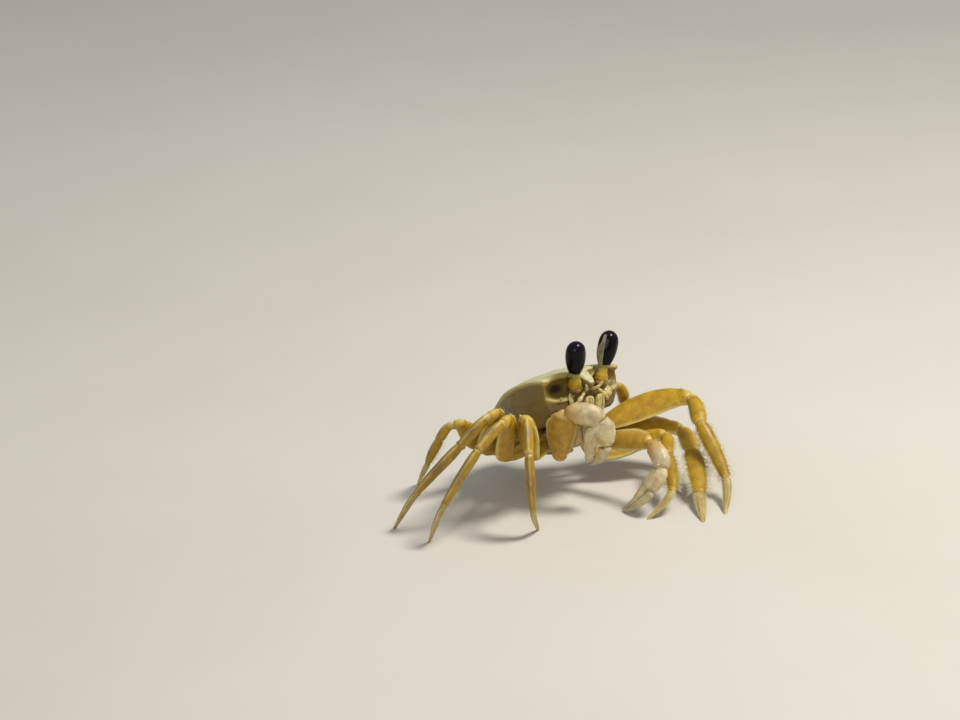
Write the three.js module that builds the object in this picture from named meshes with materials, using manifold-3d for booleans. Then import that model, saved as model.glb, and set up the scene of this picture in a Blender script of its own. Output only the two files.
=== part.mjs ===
// An Atlantic ghost crab (Ocypode quadrata), a straw-yellow subadult 26 mm across the shell, standing
// high on its eight walking legs with its nose up and both claws folded down before its mouth.
// Millimetres, +Z up. The crab faces -Y and its own left is +X, so names ending in _l lie at +X.
// The floor is z = 0, and the origin is on it, under the middle of the whole crab.
import * as THREE from 'three';
import { mergeVertices } from 'three/addons/utils/BufferGeometryUtils.js';
import Module from 'manifold-3d';

const wasm = await Module();
wasm.setup();

// ---- Driving dimensions ----
const GAP = 0.3; // clear space between neighbouring plates
const SIDES = 10; // flats round a leg
const BODY_HEIGHT = 24; // middle of the body above the floor
const NOSE_UP = 16; // degrees
const LEFT_DOWN = 5; // degrees

const SHELL = {
  halfWidth: 12.9, // at the side ridge
  front: -11.6,
  sweep: 1.2, // how much further back the front corners are
  back: 16,
  ridge: 6, // height of the side ridge at the front, from the middle of the body
  ridgeFall: 9.5, // how far the ridge has dropped at the back
  dome: 1.7, // middle of the back above the ridge
  floor: -7, // lower edge of the side wall
  floorHalf: 10.2,
  backHalf: 8.6,
};
const ORBIT = { x: 7.8, y: -12.9, z: 3.1, across: 5.4, deep: 3.6, high: 2.7, turn: 9 };
const TOOTH = { x: 11.9, z: 5.5, radius: 1.1, length: 3 }; // outer corner of each orbit
const SNOUT = { half: 2, length: 6.4, droop: 45, thick: 0.85, z: 6.7 };
const MOUTH = { across: 5, deep: 3.2, high: 4.8, y: -12.6, z: -2.8 };

const EYE = {
  y: -12.6,
  z: 3.4,
  stalkRadius: 1.45,
  corneaRadius: 2.65,
  corneaLength: 9.2,
  left: { x: 5.2, forward: 12, outward: 15.5 }, // degrees that each stalk leans forwards and outwards
  right: { x: 4, forward: 25, outward: 12 },
};

const CHEST = { front: -9, back: 13.2, half: 7.2, top: -7.3, bottom: -13.6 };
const TAIL = { half: 4.6, thick: 0.55 };

const LEG_ROOT_HEIGHT = -10.8; // where the legs leave the chest, from the middle of the body

// Each pair of walking legs: the place of its root, its segment lengths, the half depth and half
// thickness of its flattened merus and of its shank, and how it stands. A stance gives the heading
// (degrees from +X seen from above) and the rise (degrees above the level) of hip, merus, carpus
// and propodus, then the heading of the toe, whose tip comes down to the floor. A twist turns the
// flat of the merus about its length.
const LEG_PAIRS = [
  {
    name: 'leg2',
    root: [6, -2.2],
    lengths: [7.5, 18, 8.5, 14.5, 10],
    merus: [3.5, 1.6],
    shank: [1.75, 1.3],
    left: {
      hip: [-5, -54],
      merus: [-38, 12],
      carpus: [-131, -10],
      propodus: [-132, -18],
      toe: 174,
    },
    right: {
      hip: [-161, -4],
      merus: [-144, 47],
      carpus: [-132, -40],
      propodus: [-93, -84],
      toe: 31,
      twist: 50,
    },
  },
  {
    name: 'leg3',
    root: [6, 2.4],
    lengths: [9, 23.5, 9, 16, 12.5],
    merus: [4.1, 1.6],
    shank: [1.95, 1.3],
    left: {
      hip: [-20, 9],
      merus: [-37, 14],
      carpus: [-118, -21],
      propodus: [-104, -43],
      toe: -138,
    },
    right: {
      hip: [-179, -3],
      merus: [-142, 39],
      carpus: [-179, -28],
      propodus: [166, -52],
      toe: 90,
    },
  },
  {
    name: 'leg4',
    root: [6, 7],
    lengths: [9, 24, 9, 16, 12.5],
    merus: [4.1, 1.6],
    shank: [2.35, 1.3],
    left: {
      hip: [-14, 2],
      merus: [-45, -2],
      carpus: [-118, -13],
      propodus: [-130, -20],
      toe: -133,
    },
    right: {
      hip: [168, 3],
      merus: [-139, 39],
      carpus: [155, -41],
      propodus: [149, -46],
      toe: 109,
    },
  },
  {
    name: 'leg5',
    root: [5.5, 11.4],
    lengths: [7, 15.5, 7, 9.5, 8.5],
    merus: [2.7, 1.3],
    shank: [1.4, 1.0],
    left: {
      hip: [-29, 38],
      merus: [-35, 30],
      carpus: [12, -52],
      propodus: [52, -67],
      toe: 55,
    },
    right: {
      hip: [149, -5],
      merus: [-175, 39],
      carpus: [95, -48],
      propodus: [79, -56],
      toe: 85,
    },
  },
];
const TIP_HEIGHT = -0.35; // middle of each toe end from the floor, so that its underside is cut flat

// The claws: where each joint is, above the floor and from under the middle of the body.
const CLAWS = {
  left: {
    root: [5, -9, 13],
    elbow: [8.6, -25.3, 15.9],
    wrist: [6.3, -31.5, 11.8],
    knuckle: [3, -30.5, 7.2],
    tip: [0.1, -24, 0.1],
    armDepth: 2.9,
    wristDepth: 2.6,
    palmDepth: 2.6,
  },
  right: {
    root: [-7.4, -9.6, 12.9],
    elbow: [-8.6, -13.8, 25.1],
    wrist: [-3.8, -19.6, 23.9],
    knuckle: [-4.4, -19.8, 17.8],
    tip: [-3.4, -15.8, 11.4],
    armDepth: 4,
    wristDepth: 3.3,
    palmDepth: 3.9,
  },
};

// How each plate swells and narrows along its length. Rows hold the part of the way, the share of
// the half depth and, where the plate is flattened, the share of the half thickness.
const PROFILES = {
  hip: [[0, 0.9, 0.9], [0.35, 1, 1], [0.75, 1, 0.95], [1, 0.82, 0.85]],
  merus: [
    [0, 0.42, 0.8],
    [0.08, 0.55, 0.9],
    [0.25, 0.85, 1],
    [0.45, 1, 1],
    [0.66, 0.94, 0.95],
    [0.87, 0.7, 0.88],
    [0.96, 0.56, 0.84],
    [1, 0.44, 0.66],
  ],
  carpus: [
    [0, 0.8, 0.75],
    [0.12, 0.96, 0.9],
    [0.4, 1.02, 1.05],
    [0.72, 1.04, 1.05],
    [0.92, 0.98, 0.92],
    [1, 0.8, 0.78],
  ],
  propodus: [
    [0, 0.76, 0.74],
    [0.1, 1, 0.92],
    [0.35, 1.08, 0.95],
    [0.7, 0.92, 0.82],
    [0.93, 0.74, 0.7],
    [1, 0.56, 0.55],
  ],
  dactyl: [
    [0, 0.54, 0.52],
    [0.1, 0.66, 0.6],
    [0.35, 0.58, 0.52],
    [0.65, 0.42, 0.4],
    [0.88, 0.27, 0.27],
    [1, 0.2, 0.2],
  ],
  clawArm: [
    [0, 0.45, 0.7],
    [0.15, 0.62, 0.85],
    [0.4, 0.85, 1],
    [0.7, 1, 1.05],
    [0.88, 0.84, 0.95],
    [1, 0.5, 0.6],
  ],
  clawWrist: [[0, 0.74, 0.8], [0.2, 0.94, 0.95], [0.55, 1.04, 1.06], [0.85, 0.96, 1], [1, 0.78, 0.8]],
  clawPalm: [[0, 0.66, 0.7], [0.18, 0.9, 0.9], [0.45, 1, 1], [0.75, 1.02, 1], [1, 0.92, 0.88]],
  tail: [[0, 0.8], [0.12, 0.98], [0.28, 1], [0.45, 0.9], [0.62, 0.62], [0.8, 0.42], [0.94, 0.36], [1, 0.2]],
  stalk: [[-1.2, 0.9], [-0.6, 1.15], [0.5, 1.25], [1.4, 1.1], [2.1, 1.05], [2.6, 1.15], [2.9, 1.2]],
  cornea: [
    [0, 0.46],
    [0.06, 0.58],
    [0.18, 0.77],
    [0.34, 0.93],
    [0.52, 1],
    [0.7, 0.99],
    [0.86, 0.86],
    [0.96, 0.54],
    [1, 0.18],
  ],
  mouthPlate: [[0, 0.5], [0.1, 0.85], [0.35, 1], [0.7, 0.95], [0.93, 0.7], [1, 0.45]],
  feeler: [[0, 1, 1], [0.35, 1, 1], [0.7, 0.8, 0.8], [1, 0.6, 0.6]],
  snout: [[0, 1.25], [0.4, 1], [0.75, 0.9], [0.93, 0.75], [1, 0.5]],
  tooth: [[0, 1], [0.5, 0.8], [0.85, 0.42], [1, 0.12]],
};
// A claw finger: the part of the way, its half depth and how far it lies from the middle line, both
// as shares of the palm's half depth.
const FINGER = [[0.3, 0.4, 0.46], [0.6, 0.29, 0.34], [0.85, 0.17, 0.21], [1, 0.07, 0.1]];
const FINGER_BASE = [0.43, 0.5];

const COLOURS = {
  shell: [0xb9b48c, 0.5],
  underside: [0xcfc294, 0.55],
  yellow: [0xc79a2e, 0.4],
  shank: [0xbd9a3a, 0.4],
  claw: [0xd9cdb4, 0.35],
  stalk: [0xa8904a, 0.4],
  cornea: [0x120b0c, 0.08],
  mouth: [0xd8d2a4, 0.5],
};

// ---- Small tools ----
const radians = THREE.MathUtils.degToRad;
const place = (x, y, z) => new THREE.Vector3(x, y, z);

// The unit vector with a heading from +X and a rise above the level, in degrees.
function aim([heading, rise]) {
  const flat = Math.cos(radians(rise));
  return place(Math.cos(radians(heading)) * flat, Math.sin(radians(heading)) * flat, Math.sin(radians(rise)));
}

// A closed surface over rings of equally many points, with a middle point closing each end.
function skin(rings) {
  const count = rings[0].length;
  const middle = (ring) => ring.reduce((sum, p) => sum.add(p), place(0, 0, 0)).divideScalar(count);
  const points = [...rings.flat(), middle(rings[0]), middle(rings.at(-1))];
  const last = (rings.length - 1) * count;
  const faces = [];
  for (let side = 0; side < count; side += 1) {
    const next = (side + 1) % count;
    for (let row = 0; row < last; row += count) {
      faces.push(row + side, row + next, row + count + next);
      faces.push(row + side, row + count + next, row + count + side);
    }
    faces.push(points.length - 2, next, side);
    faces.push(points.length - 1, last + side, last + next);
  }
  const geometry = new THREE.BufferGeometry();
  geometry.setAttribute('position', new THREE.Float32BufferAttribute(points.flatMap((p) => p.toArray()), 3));
  geometry.setIndex(faces);
  return geometry;
}

// A ring round a point: `side` and `top` are unit vectors square to the way it faces. A fullness
// of 2 is an ellipse, and less gives keeled edges.
function ring(centre, side, top, halfSide, halfTop, fullness = 2, sides = SIDES) {
  const points = [];
  for (let step = 0; step < sides; step += 1) {
    const angle = (step / sides) * 2 * Math.PI;
    const across = Math.sign(Math.cos(angle)) * Math.abs(Math.cos(angle)) ** (2 / fullness);
    const up = Math.sign(Math.sin(angle)) * Math.abs(Math.sin(angle)) ** (2 / fullness);
    points.push(centre.clone().addScaledVector(side, across * halfSide).addScaledVector(top, up * halfTop));
  }
  return points;
}

// A plate along a bent axis from one joint to the next. The profile's rows hold the part of the
// way, the share of the half depth and the share of the half thickness.
function plate(axis, hinge, depth, thickness, profile, fullness = 1.8, sides = SIDES) {
  const rings = profile.map(([part, deep, thick]) => {
    const along = axis.getTangent(part);
    const side = hinge.clone().addScaledVector(along, -hinge.dot(along)).normalize();
    const top = along.clone().cross(side);
    return ring(axis.getPoint(part), side, top, thickness * thick, depth * deep, fullness, sides);
  });
  return skin(rings);
}

// The axis of a plate between two joints, leaving half the gap at each.
function axisBetween(start, startWay, end, endWay) {
  const from = start.clone().addScaledVector(startWay, GAP / 2);
  const to = end.clone().addScaledVector(endWay, -GAP / 2);
  const reach = from.distanceTo(to) / 3;
  return new THREE.CubicBezierCurve3(
    from,
    from.clone().addScaledVector(startWay, reach),
    to.clone().addScaledVector(endWay, -reach),
    to,
  );
}

function blend(first, second, share) {
  return first.clone().multiplyScalar(1 - share).addScaledVector(second, share).normalize();
}

// ---- Cutting and joining ----
function toSolid(geometry) {
  const bare = new THREE.BufferGeometry();
  bare.setAttribute('position', geometry.getAttribute('position').clone());
  bare.setIndex(geometry.index);
  const merged = mergeVertices(bare, 1e-4);
  return new wasm.Manifold(
    new wasm.Mesh({
      numProp: 3,
      vertProperties: new Float32Array(merged.getAttribute('position').array),
      triVerts: new Uint32Array(merged.index.array),
    }),
  );
}

function toGeometry(solid) {
  const mesh = solid.getMesh();
  const geometry = new THREE.BufferGeometry();
  geometry.setAttribute('position', new THREE.BufferAttribute(mesh.vertProperties, 3));
  geometry.setIndex(new THREE.BufferAttribute(mesh.triVerts, 1));
  return geometry;
}

function cut(geometry, ...tools) {
  return toGeometry(tools.reduce((solid, tool) => solid.subtract(toSolid(tool)), toSolid(geometry)));
}

function join(geometry, ...others) {
  return toGeometry(others.reduce((solid, other) => solid.add(toSolid(other)), toSolid(geometry)));
}

function ellipsoid(halfX, halfY, halfZ) {
  return new THREE.SphereGeometry(1, 16, 10).scale(halfX, halfY, halfZ);
}

// Everything below the floor, to give a tip that meets it a small flat.
function underFloor() {
  const size = 300;
  return new THREE.BoxGeometry(size, size, size).translate(0, 0, -size / 2);
}

// ---- The crab ----
const crab = new THREE.Group();
const body = new THREE.Group();
body.position.z = BODY_HEIGHT;
body.rotation.set(radians(-NOSE_UP), radians(LEFT_DOWN), 0);
crab.add(body);
body.updateMatrixWorld();

function add(group, name, geometry, [color, roughness]) {
  const bare = geometry.index ? geometry.toNonIndexed() : geometry;
  bare.computeVertexNormals();
  const mesh = new THREE.Mesh(bare, new THREE.MeshStandardMaterial({ color, roughness, metalness: 0 }));
  mesh.name = name;
  group.add(mesh);
  return mesh;
}

// ---- How each eye stands ----
function eyeFrame(hand) {
  const lean = hand > 0 ? EYE.left : EYE.right;
  const tilt = new THREE.Euler(radians(lean.forward), radians(hand * lean.outward), 0);
  const way = place(0, 0, 1).applyEuler(tilt);
  const side = place(1, 0, 0).applyEuler(tilt);
  return { way, side, top: way.clone().cross(side), start: place(hand * lean.x, EYE.y, EYE.z) };
}

function eyeRings(profile, way, side, top, start) {
  return profile.map(([distance, radius]) =>
    ring(start.clone().addScaledVector(way, distance), side, top, radius, radius * 0.94, 2, 14));
}

// ---- Shell: a deep box with a domed back, a sharp ridge along each side and steep side walls ----
// One ring of the shell, at a part of the way from its front to its back, grown by `extra`.
function shellRing(part, extra = 0) {
  const y = THREE.MathUtils.lerp(SHELL.front - extra, SHELL.back + extra, part);
  const narrowing = THREE.MathUtils.smoothstep(part, 0.4, 1.1);
  const half = THREE.MathUtils.lerp(SHELL.halfWidth, SHELL.backHalf * 0.8, narrowing) + extra;
  const fall = SHELL.ridgeFall * part ** 2.1;
  const ridge = SHELL.ridge - fall;
  const top = ridge + SHELL.dome * Math.sin(Math.PI * (0.25 + 0.6 * part)) + extra;
  const floor = SHELL.floor - extra + 3 * (1 - THREE.MathUtils.smoothstep(part, 0, 0.3));
  const floorHalf = THREE.MathUtils.lerp(SHELL.floorHalf, SHELL.backHalf * 0.7, narrowing) + extra;
  const sweep = SHELL.sweep * (1 - THREE.MathUtils.smoothstep(part, 0, 0.5));
  const outline = [];
  for (const share of [0, 0.3, 0.6, 0.85]) {
    outline.push([half * share, ridge + (top - ridge) * (1 - share ** 2)]);
  }
  outline.push([half, ridge]);
  for (const share of [0.12, 0.4, 0.7, 0.92]) {
    const inward = (half - floorHalf) * share ** 3;
    outline.push([half - 0.35 - inward + 0.5 * Math.sin(Math.PI * share), ridge + (floor - ridge) * share]);
  }
  outline.push([floorHalf - 1.2, floor], [0, floor]);
  const at = (x, z) => place(x, y + sweep * (x / half) ** 2, z);
  const left = outline.map(([x, z]) => at(x, z));
  const right = outline.slice(1, -1).reverse().map(([x, z]) => at(-x, z));
  return [...left, ...right];
}

function shell(extra = 0) {
  const parts = [0, 0.08, 0.2, 0.35, 0.5, 0.63, 0.75, 0.86, 0.95, 1];
  const rings = parts.map((part) => shellRing(part, extra));
  const backEnd = rings.at(-1);
  const middle = backEnd.reduce((sum, p) => sum.add(p), place(0, 0, 0)).divideScalar(backEnd.length);
  rings.push(backEnd.map((p) => p.clone().lerp(middle, 0.3).add(place(0, 0.6, 0))));
  const frontEnd = rings[0];
  const face = place(0, SHELL.front, 1);
  rings.unshift(frontEnd.map((p) => p.clone().lerp(face, 0.12).add(place(0, -0.7, 0))));
  return skin(rings);
}

function snout() {
  const along = place(0, -Math.cos(radians(SNOUT.droop)), -Math.sin(radians(SNOUT.droop)));
  const side = place(1, 0, 0);
  const top = along.clone().cross(side);
  const start = place(0, SHELL.front + 1.6, SNOUT.z);
  const rings = PROFILES.snout.map(([part, share]) => {
    const centre = start.clone().addScaledVector(along, SNOUT.length * part);
    return ring(centre, side, top, SNOUT.half * share, SNOUT.thick * (0.6 + 0.4 * share), 3);
  });
  return skin(rings);
}

function orbitTooth(hand) {
  const along = place(hand * 0.16, -1, 0.02).normalize();
  const side = place(1, 0, 0);
  const top = along.clone().cross(side);
  const start = place(hand * TOOTH.x, SHELL.front + SHELL.sweep + 1.2, TOOTH.z);
  const rings = PROFILES.tooth.map(([part, share]) => {
    const centre = start.clone().addScaledVector(along, TOOTH.length * part);
    return ring(centre, side, top, TOOTH.radius * share, TOOTH.radius * 0.7 * share, 2, 8);
  });
  return skin(rings);
}

function orbitHollow(hand) {
  return ellipsoid(ORBIT.across, ORBIT.deep, ORBIT.high)
    .rotateZ(radians(hand * ORBIT.turn))
    .translate(hand * ORBIT.x, ORBIT.y, ORBIT.z);
}

// Room for an eyestalk where it leaves the orbit beside the snout.
function eyeNotch(hand) {
  const { way, side, top, start } = eyeFrame(hand);
  const notch = [[-1.6, EYE.stalkRadius * 1.3 + GAP], [6, EYE.stalkRadius * 1.45 + GAP]];
  return skin(eyeRings(notch, way, side, top, start));
}

const mouthHollow = ellipsoid(MOUTH.across, MOUTH.deep, MOUTH.high).translate(0, MOUTH.y, MOUTH.z);
const hollowed = cut(shell(), orbitHollow(1), orbitHollow(-1), mouthHollow);
const fronted = join(hollowed, snout(), orbitTooth(1), orbitTooth(-1));
const notched = cut(fronted, eyeNotch(1), eyeNotch(-1));
add(body, 'carapace', notched, COLOURS.shell);

// ---- Chest plate and the tail folded under it ----
function chest(extra = 0) {
  const rings = [0, 0.12, 0.3, 0.6, 0.85, 1].map((part) => {
    const fill = 0.55 + 0.45 * Math.sin(Math.PI * Math.min(1, 0.1 + part * 0.85)) ** 0.5;
    const bottom = CHEST.bottom - extra + 2.2 * (1 - Math.min(1, part / 0.3)) ** 2;
    const y = THREE.MathUtils.lerp(CHEST.front - extra, CHEST.back + extra, part);
    const centre = place(0, y, (CHEST.top + bottom) / 2);
    const half = CHEST.half * fill + extra;
    return ring(centre, place(-1, 0, 0), place(0, 0, 1), half, (CHEST.top - bottom) / 2, 3.5, 12);
  });
  return skin(rings);
}
add(body, 'chest', chest(), COLOURS.underside);

function tail() {
  const axis = new THREE.CatmullRomCurve3([
    place(0, 17.7, -5.4),
    place(0, 17.3, -9.8),
    place(0, 13.8, -14.6),
    place(0, 4.5, -14.95),
    place(0, -4.2, -14.8),
  ]);
  const rings = PROFILES.tail.map(([part, share]) => {
    const along = axis.getTangent(part);
    const side = place(1, 0, 0);
    const top = along.clone().cross(side);
    return ring(axis.getPoint(part), side, top, TAIL.half * share, TAIL.thick, 2.6);
  });
  return skin(rings);
}
add(body, 'tail', tail(), COLOURS.underside);

function eye(hand, suffix) {
  const { way, side, top, start } = eyeFrame(hand);
  const stalk = PROFILES.stalk.map(([distance, share]) => [distance, EYE.stalkRadius * share]);
  const corneaStart = stalk.at(-1)[0] + GAP;
  const cornea = PROFILES.cornea.map(([part, share]) => [
    corneaStart + part * EYE.corneaLength,
    EYE.corneaRadius * share,
  ]);
  add(body, `eyestalk_${suffix}`, skin(eyeRings(stalk, way, side, top, start)), COLOURS.stalk);
  add(body, `cornea_${suffix}`, skin(eyeRings(cornea, way, side, top, start)), COLOURS.cornea);
}
eye(1, 'l');
eye(-1, 'r');

// ---- Mouth plates and feelers ----
function mouthPlate(hand) {
  const top = place(hand * 2.2, -14, 0.4);
  const bottom = place(hand * 2.2, -12.2, -6.2);
  const rings = PROFILES.mouthPlate.map(([part, share]) => {
    const centre = top.clone().lerp(bottom, part);
    return ring(centre, place(1, 0, 0), place(0, -1, 0), 1.9 * share, 0.9 * share, 2.6);
  });
  return skin(rings);
}

function feeler(hand) {
  const axis = new THREE.QuadraticBezierCurve3(
    place(hand * 1.3, -13.4, 1.6),
    place(hand * 1.9, -14.9, 1.7),
    place(hand * 3, -15.6, 3.2),
  );
  const radius = 0.42;
  return plate(axis, place(1, 0, 0), radius, radius, PROFILES.feeler, 2, 8);
}

for (const [hand, suffix] of [[1, 'l'], [-1, 'r']]) {
  add(body, `mouth_plate_${suffix}`, mouthPlate(hand), COLOURS.mouth);
  add(body, `feeler_${suffix}`, feeler(hand), COLOURS.mouth);
}

// ---- Walking legs ----
function legJoints(root, lengths, stance) {
  const ways = [aim(stance.hip), aim(stance.merus), aim(stance.carpus), aim(stance.propodus)];
  const joints = [root.clone()];
  ways.forEach((way, step) => joints.push(joints.at(-1).clone().addScaledVector(way, lengths[step])));
  const drop = joints.at(-1).z - TIP_HEIGHT;
  const toeFall = -THREE.MathUtils.radToDeg(Math.asin(drop / lengths[4]));
  ways.push(aim([stance.toe, toeFall]));
  joints.push(joints.at(-1).clone().addScaledVector(ways[4], lengths[4]));
  return { joints, ways };
}

const bodyTools = [shell(GAP), chest(GAP)].map((tool) => tool.applyMatrix4(body.matrixWorld));

function walkingLeg(pair, hand, suffix) {
  const stance = hand > 0 ? pair.left : pair.right;
  const root = place(hand * pair.root[0], pair.root[1], LEG_ROOT_HEIGHT).applyMatrix4(body.matrixWorld);
  const { joints, ways } = legJoints(root, pair.lengths, stance);
  const hinge = ways[1].clone().cross(joints[5].clone().sub(joints[2])).normalize();
  const upperHinge = hinge.clone().applyAxisAngle(ways[1], radians(stance.twist ?? 0));
  // The way each joint faces: the long plates stay straight and the short carpus takes the bend.
  const facing = [
    ways[0],
    blend(ways[0], ways[1], 0.5),
    blend(ways[1], ways[2], 0.5),
    blend(ways[2], ways[3], 0.6),
    blend(ways[3], ways[4], 0.35),
    ways[4],
  ];
  const [merusDepth, merusThickness] = pair.merus;
  const [shankDepth, shankThickness] = pair.shank;
  const hipRadius = merusDepth * 0.47;
  const sizes = {
    hip: [hipRadius, hipRadius * 0.95],
    merus: [merusDepth, merusThickness],
    carpus: [shankDepth, shankThickness],
    propodus: [shankDepth, shankThickness],
    dactyl: [shankDepth, shankThickness],
  };
  Object.entries(sizes).forEach(([segment, [depth, thickness]], step) => {
    const axis = axisBetween(joints[step], facing[step], joints[step + 1], facing[step + 1]);
    const upper = segment === 'hip' || segment === 'merus';
    const across = upper ? upperHinge : hinge;
    const solid = plate(axis, across, depth, thickness, PROFILES[segment], upper ? 2 : 1.8);
    const tools = { hip: bodyTools, merus: bodyTools, dactyl: [underFloor()] }[segment];
    const colour = upper ? COLOURS.yellow : COLOURS.shank;
    add(crab, `${pair.name}_${segment}_${suffix}`, tools ? cut(solid, ...tools) : solid, colour);
  });
}

for (const pair of LEG_PAIRS) {
  walkingLeg(pair, 1, 'l');
  walkingLeg(pair, -1, 'r');
}

// ---- Claws: arm, wrist, palm with its fixed finger, and the moving finger ----
function claw(spec, suffix) {
  const joint = (name) => place(...spec[name]);
  const [root, elbow, wrist, knuckle, tip] = ['root', 'elbow', 'wrist', 'knuckle', 'tip'].map(joint);
  const way = (from, to) => to.clone().sub(from).normalize();
  const armWay = way(root, elbow);
  const wristWay = way(elbow, wrist);
  const palmWay = way(wrist, knuckle);
  const hinge = armWay.clone().cross(wristWay).normalize();
  const elbowFacing = blend(armWay, wristWay, 0.4);
  const wristFacing = blend(wristWay, palmWay, 0.55);

  const armAxis = axisBetween(root, armWay, elbow, elbowFacing);
  const armThickness = spec.armDepth * 0.55;
  const arm = (extra) =>
    plate(armAxis, hinge, spec.armDepth + extra, armThickness + extra, PROFILES.clawArm, 2);
  add(crab, `claw_arm_${suffix}`, cut(arm(0), ...bodyTools), COLOURS.yellow);

  const wristAxis = axisBetween(elbow, elbowFacing, wrist, wristFacing);
  const wristThickness = spec.wristDepth * 0.76;
  const wristPlate = plate(wristAxis, hinge, spec.wristDepth, wristThickness, PROFILES.clawWrist, 2.2);
  add(crab, `claw_wrist_${suffix}`, cut(wristPlate, arm(GAP)), COLOURS.claw);

  // The palm runs from the wrist to the knuckle, and its lower half carries on as the fixed finger.
  const palmAxis = axisBetween(wrist, wristFacing, knuckle, palmWay);
  const bow = knuckle.clone().addScaledVector(palmWay, knuckle.distanceTo(tip) * 0.45);
  const fingerCurve = new THREE.QuadraticBezierCurve3(knuckle, bow, tip);
  const depth = spec.palmDepth;
  const thickness = depth * 0.55;
  const frame = (curve, part) => {
    const along = curve.getTangent(part);
    const side = hinge.clone().addScaledVector(along, -hinge.dot(along)).normalize();
    return { centre: curve.getPoint(part), side, top: along.clone().cross(side) };
  };
  const palmRings = PROFILES.clawPalm.map(([part, deep, thick]) => {
    const { centre, side, top } = frame(palmAxis, part);
    return ring(centre, side, top, thickness * thick, depth * deep, 2.2, 12);
  });
  const fingerRings = (sign, start) =>
    [[start, ...FINGER_BASE], ...FINGER].map(([part, deep, off]) => {
      const { centre, side, top } = frame(fingerCurve, part);
      centre.addScaledVector(top, sign * depth * off);
      return ring(centre, side, top, depth * deep * 0.8, depth * deep, 2, 12);
    });
  const onFloor = spec.tip[2] < 1 ? [underFloor()] : [];
  const palmSolid = skin([...palmRings, ...fingerRings(-1, 0.06)]);
  add(crab, `claw_palm_${suffix}`, cut(palmSolid, ...onFloor), COLOURS.claw);
  const finger = skin(fingerRings(1, 0.09));
  add(crab, `claw_finger_${suffix}`, cut(finger, ...onFloor), COLOURS.claw);
}
claw(CLAWS.left, 'l');
claw(CLAWS.right, 'r');

// ---- Origin: on the floor, under the middle of the whole crab ----
const bounds = new THREE.Box3().setFromObject(crab, true);
const middle = bounds.getCenter(place(0, 0, 0));
for (const child of crab.children) {
  child.position.x -= middle.x;
  child.position.y -= middle.y;
}
crab.updateMatrixWorld(true);

export default crab;
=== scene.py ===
# %% [markdown]
# # A ghost crab, plate by plate
# A crab wears its skeleton outside, so it is a set of hard plates with soft skin showing only in the
# joints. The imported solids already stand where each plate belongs. This lesson takes a copy of every
# solid, rounds it into a real plate, and adds what the solids leave out: ridges, grains, joint skin,
# bristles and colour. The frame stays as it is, and each new piece hides the solid it stands for.

import math

import bpy
import numpy as np
from mathutils import Matrix, Vector, noise
from mathutils.bvhtree import BVHTree


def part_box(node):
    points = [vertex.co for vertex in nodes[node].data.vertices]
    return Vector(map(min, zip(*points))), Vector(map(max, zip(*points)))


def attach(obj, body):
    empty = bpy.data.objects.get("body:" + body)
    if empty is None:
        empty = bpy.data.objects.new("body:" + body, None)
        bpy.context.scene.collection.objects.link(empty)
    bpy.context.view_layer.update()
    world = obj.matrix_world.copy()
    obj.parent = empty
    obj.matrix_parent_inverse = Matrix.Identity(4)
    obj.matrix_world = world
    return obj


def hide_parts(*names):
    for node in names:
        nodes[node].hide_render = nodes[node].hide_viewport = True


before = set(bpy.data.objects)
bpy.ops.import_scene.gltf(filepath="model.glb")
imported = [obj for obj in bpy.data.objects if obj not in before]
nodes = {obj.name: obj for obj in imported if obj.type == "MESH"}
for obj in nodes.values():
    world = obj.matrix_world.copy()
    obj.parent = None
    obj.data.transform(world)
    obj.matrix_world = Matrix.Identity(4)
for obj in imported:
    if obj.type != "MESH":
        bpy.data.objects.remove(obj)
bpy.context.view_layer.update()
MM = 0.001
SIDES = ((1, "l"), (-1, "r"))  # which way x points, and the letter in the names
chance = np.random.default_rng(11)
print("plates in the frame:", len(nodes))

# %% [markdown]
# The body is pitched nose up and leans a little to the crab's left, so its own directions aren't
# those of the floor. Shapes on the head are much easier to place in the body's own millimetres:
# x to the crab's left, y to its tail and z to its back. The two mouth plates lie evenly on both sides
# of the middle line, so the point between them tells where the body is.

# %% The body's own directions
NOSE_UP = math.radians(16)
LEFT_DOWN = math.radians(5)
MOUTH_MIDDLE = Vector((0, -13.1, -2.9)) * MM
body_turn = Matrix.Rotation(-NOSE_UP, 3, "X") @ Matrix.Rotation(LEFT_DOWN, 3, "Y")


def middle_of(node):
    low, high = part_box(node)
    return (low + high) / 2


body_origin = (middle_of("mouth_plate_l") + middle_of("mouth_plate_r")) / 2 - body_turn @ MOUTH_MIDDLE
turn_rows = np.array(body_turn)


def from_body(x, y, z):
    """A point given in the body's own millimetres, in the frame's metres."""
    return body_origin + body_turn @ Vector((x, y, z)) * MM


def to_body(co):
    """Points of the frame in the body's own millimetres."""
    return (co - np.array(body_origin)) @ turn_rows / MM


print("body middle (mm):", [round(v / MM, 2) for v in body_origin])

# %% [markdown]
# Operators act on whatever is selected, and the frame leaves its nodes selected. These small helpers
# make one piece the only selected one, and add a modifier and apply it at once.

# %% Work on one piece at a time
def alone(piece):
    bpy.ops.object.select_all(action="DESELECT")
    piece.select_set(True)
    bpy.context.view_layer.objects.active = piece


def modify(piece, kind, **settings):
    alone(piece)
    modifier = piece.modifiers.new(kind.title(), kind)
    for name, value in settings.items():
        setattr(modifier, name, value)
    bpy.ops.object.modifier_apply(modifier=modifier.name)


def join(piece, *others):
    bpy.ops.object.select_all(action="DESELECT")
    for other in others:
        other.select_set(True)
    piece.select_set(True)
    bpy.context.view_layer.objects.active = piece
    bpy.ops.object.join()
    return piece


# %% [markdown]
# Fine shaping is done on the points as numbers. A mesh can also carry a value for each point, such as
# how close it is to a keel. Materials read these values, so a stripe follows its own plate however the
# leg stands.

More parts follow.
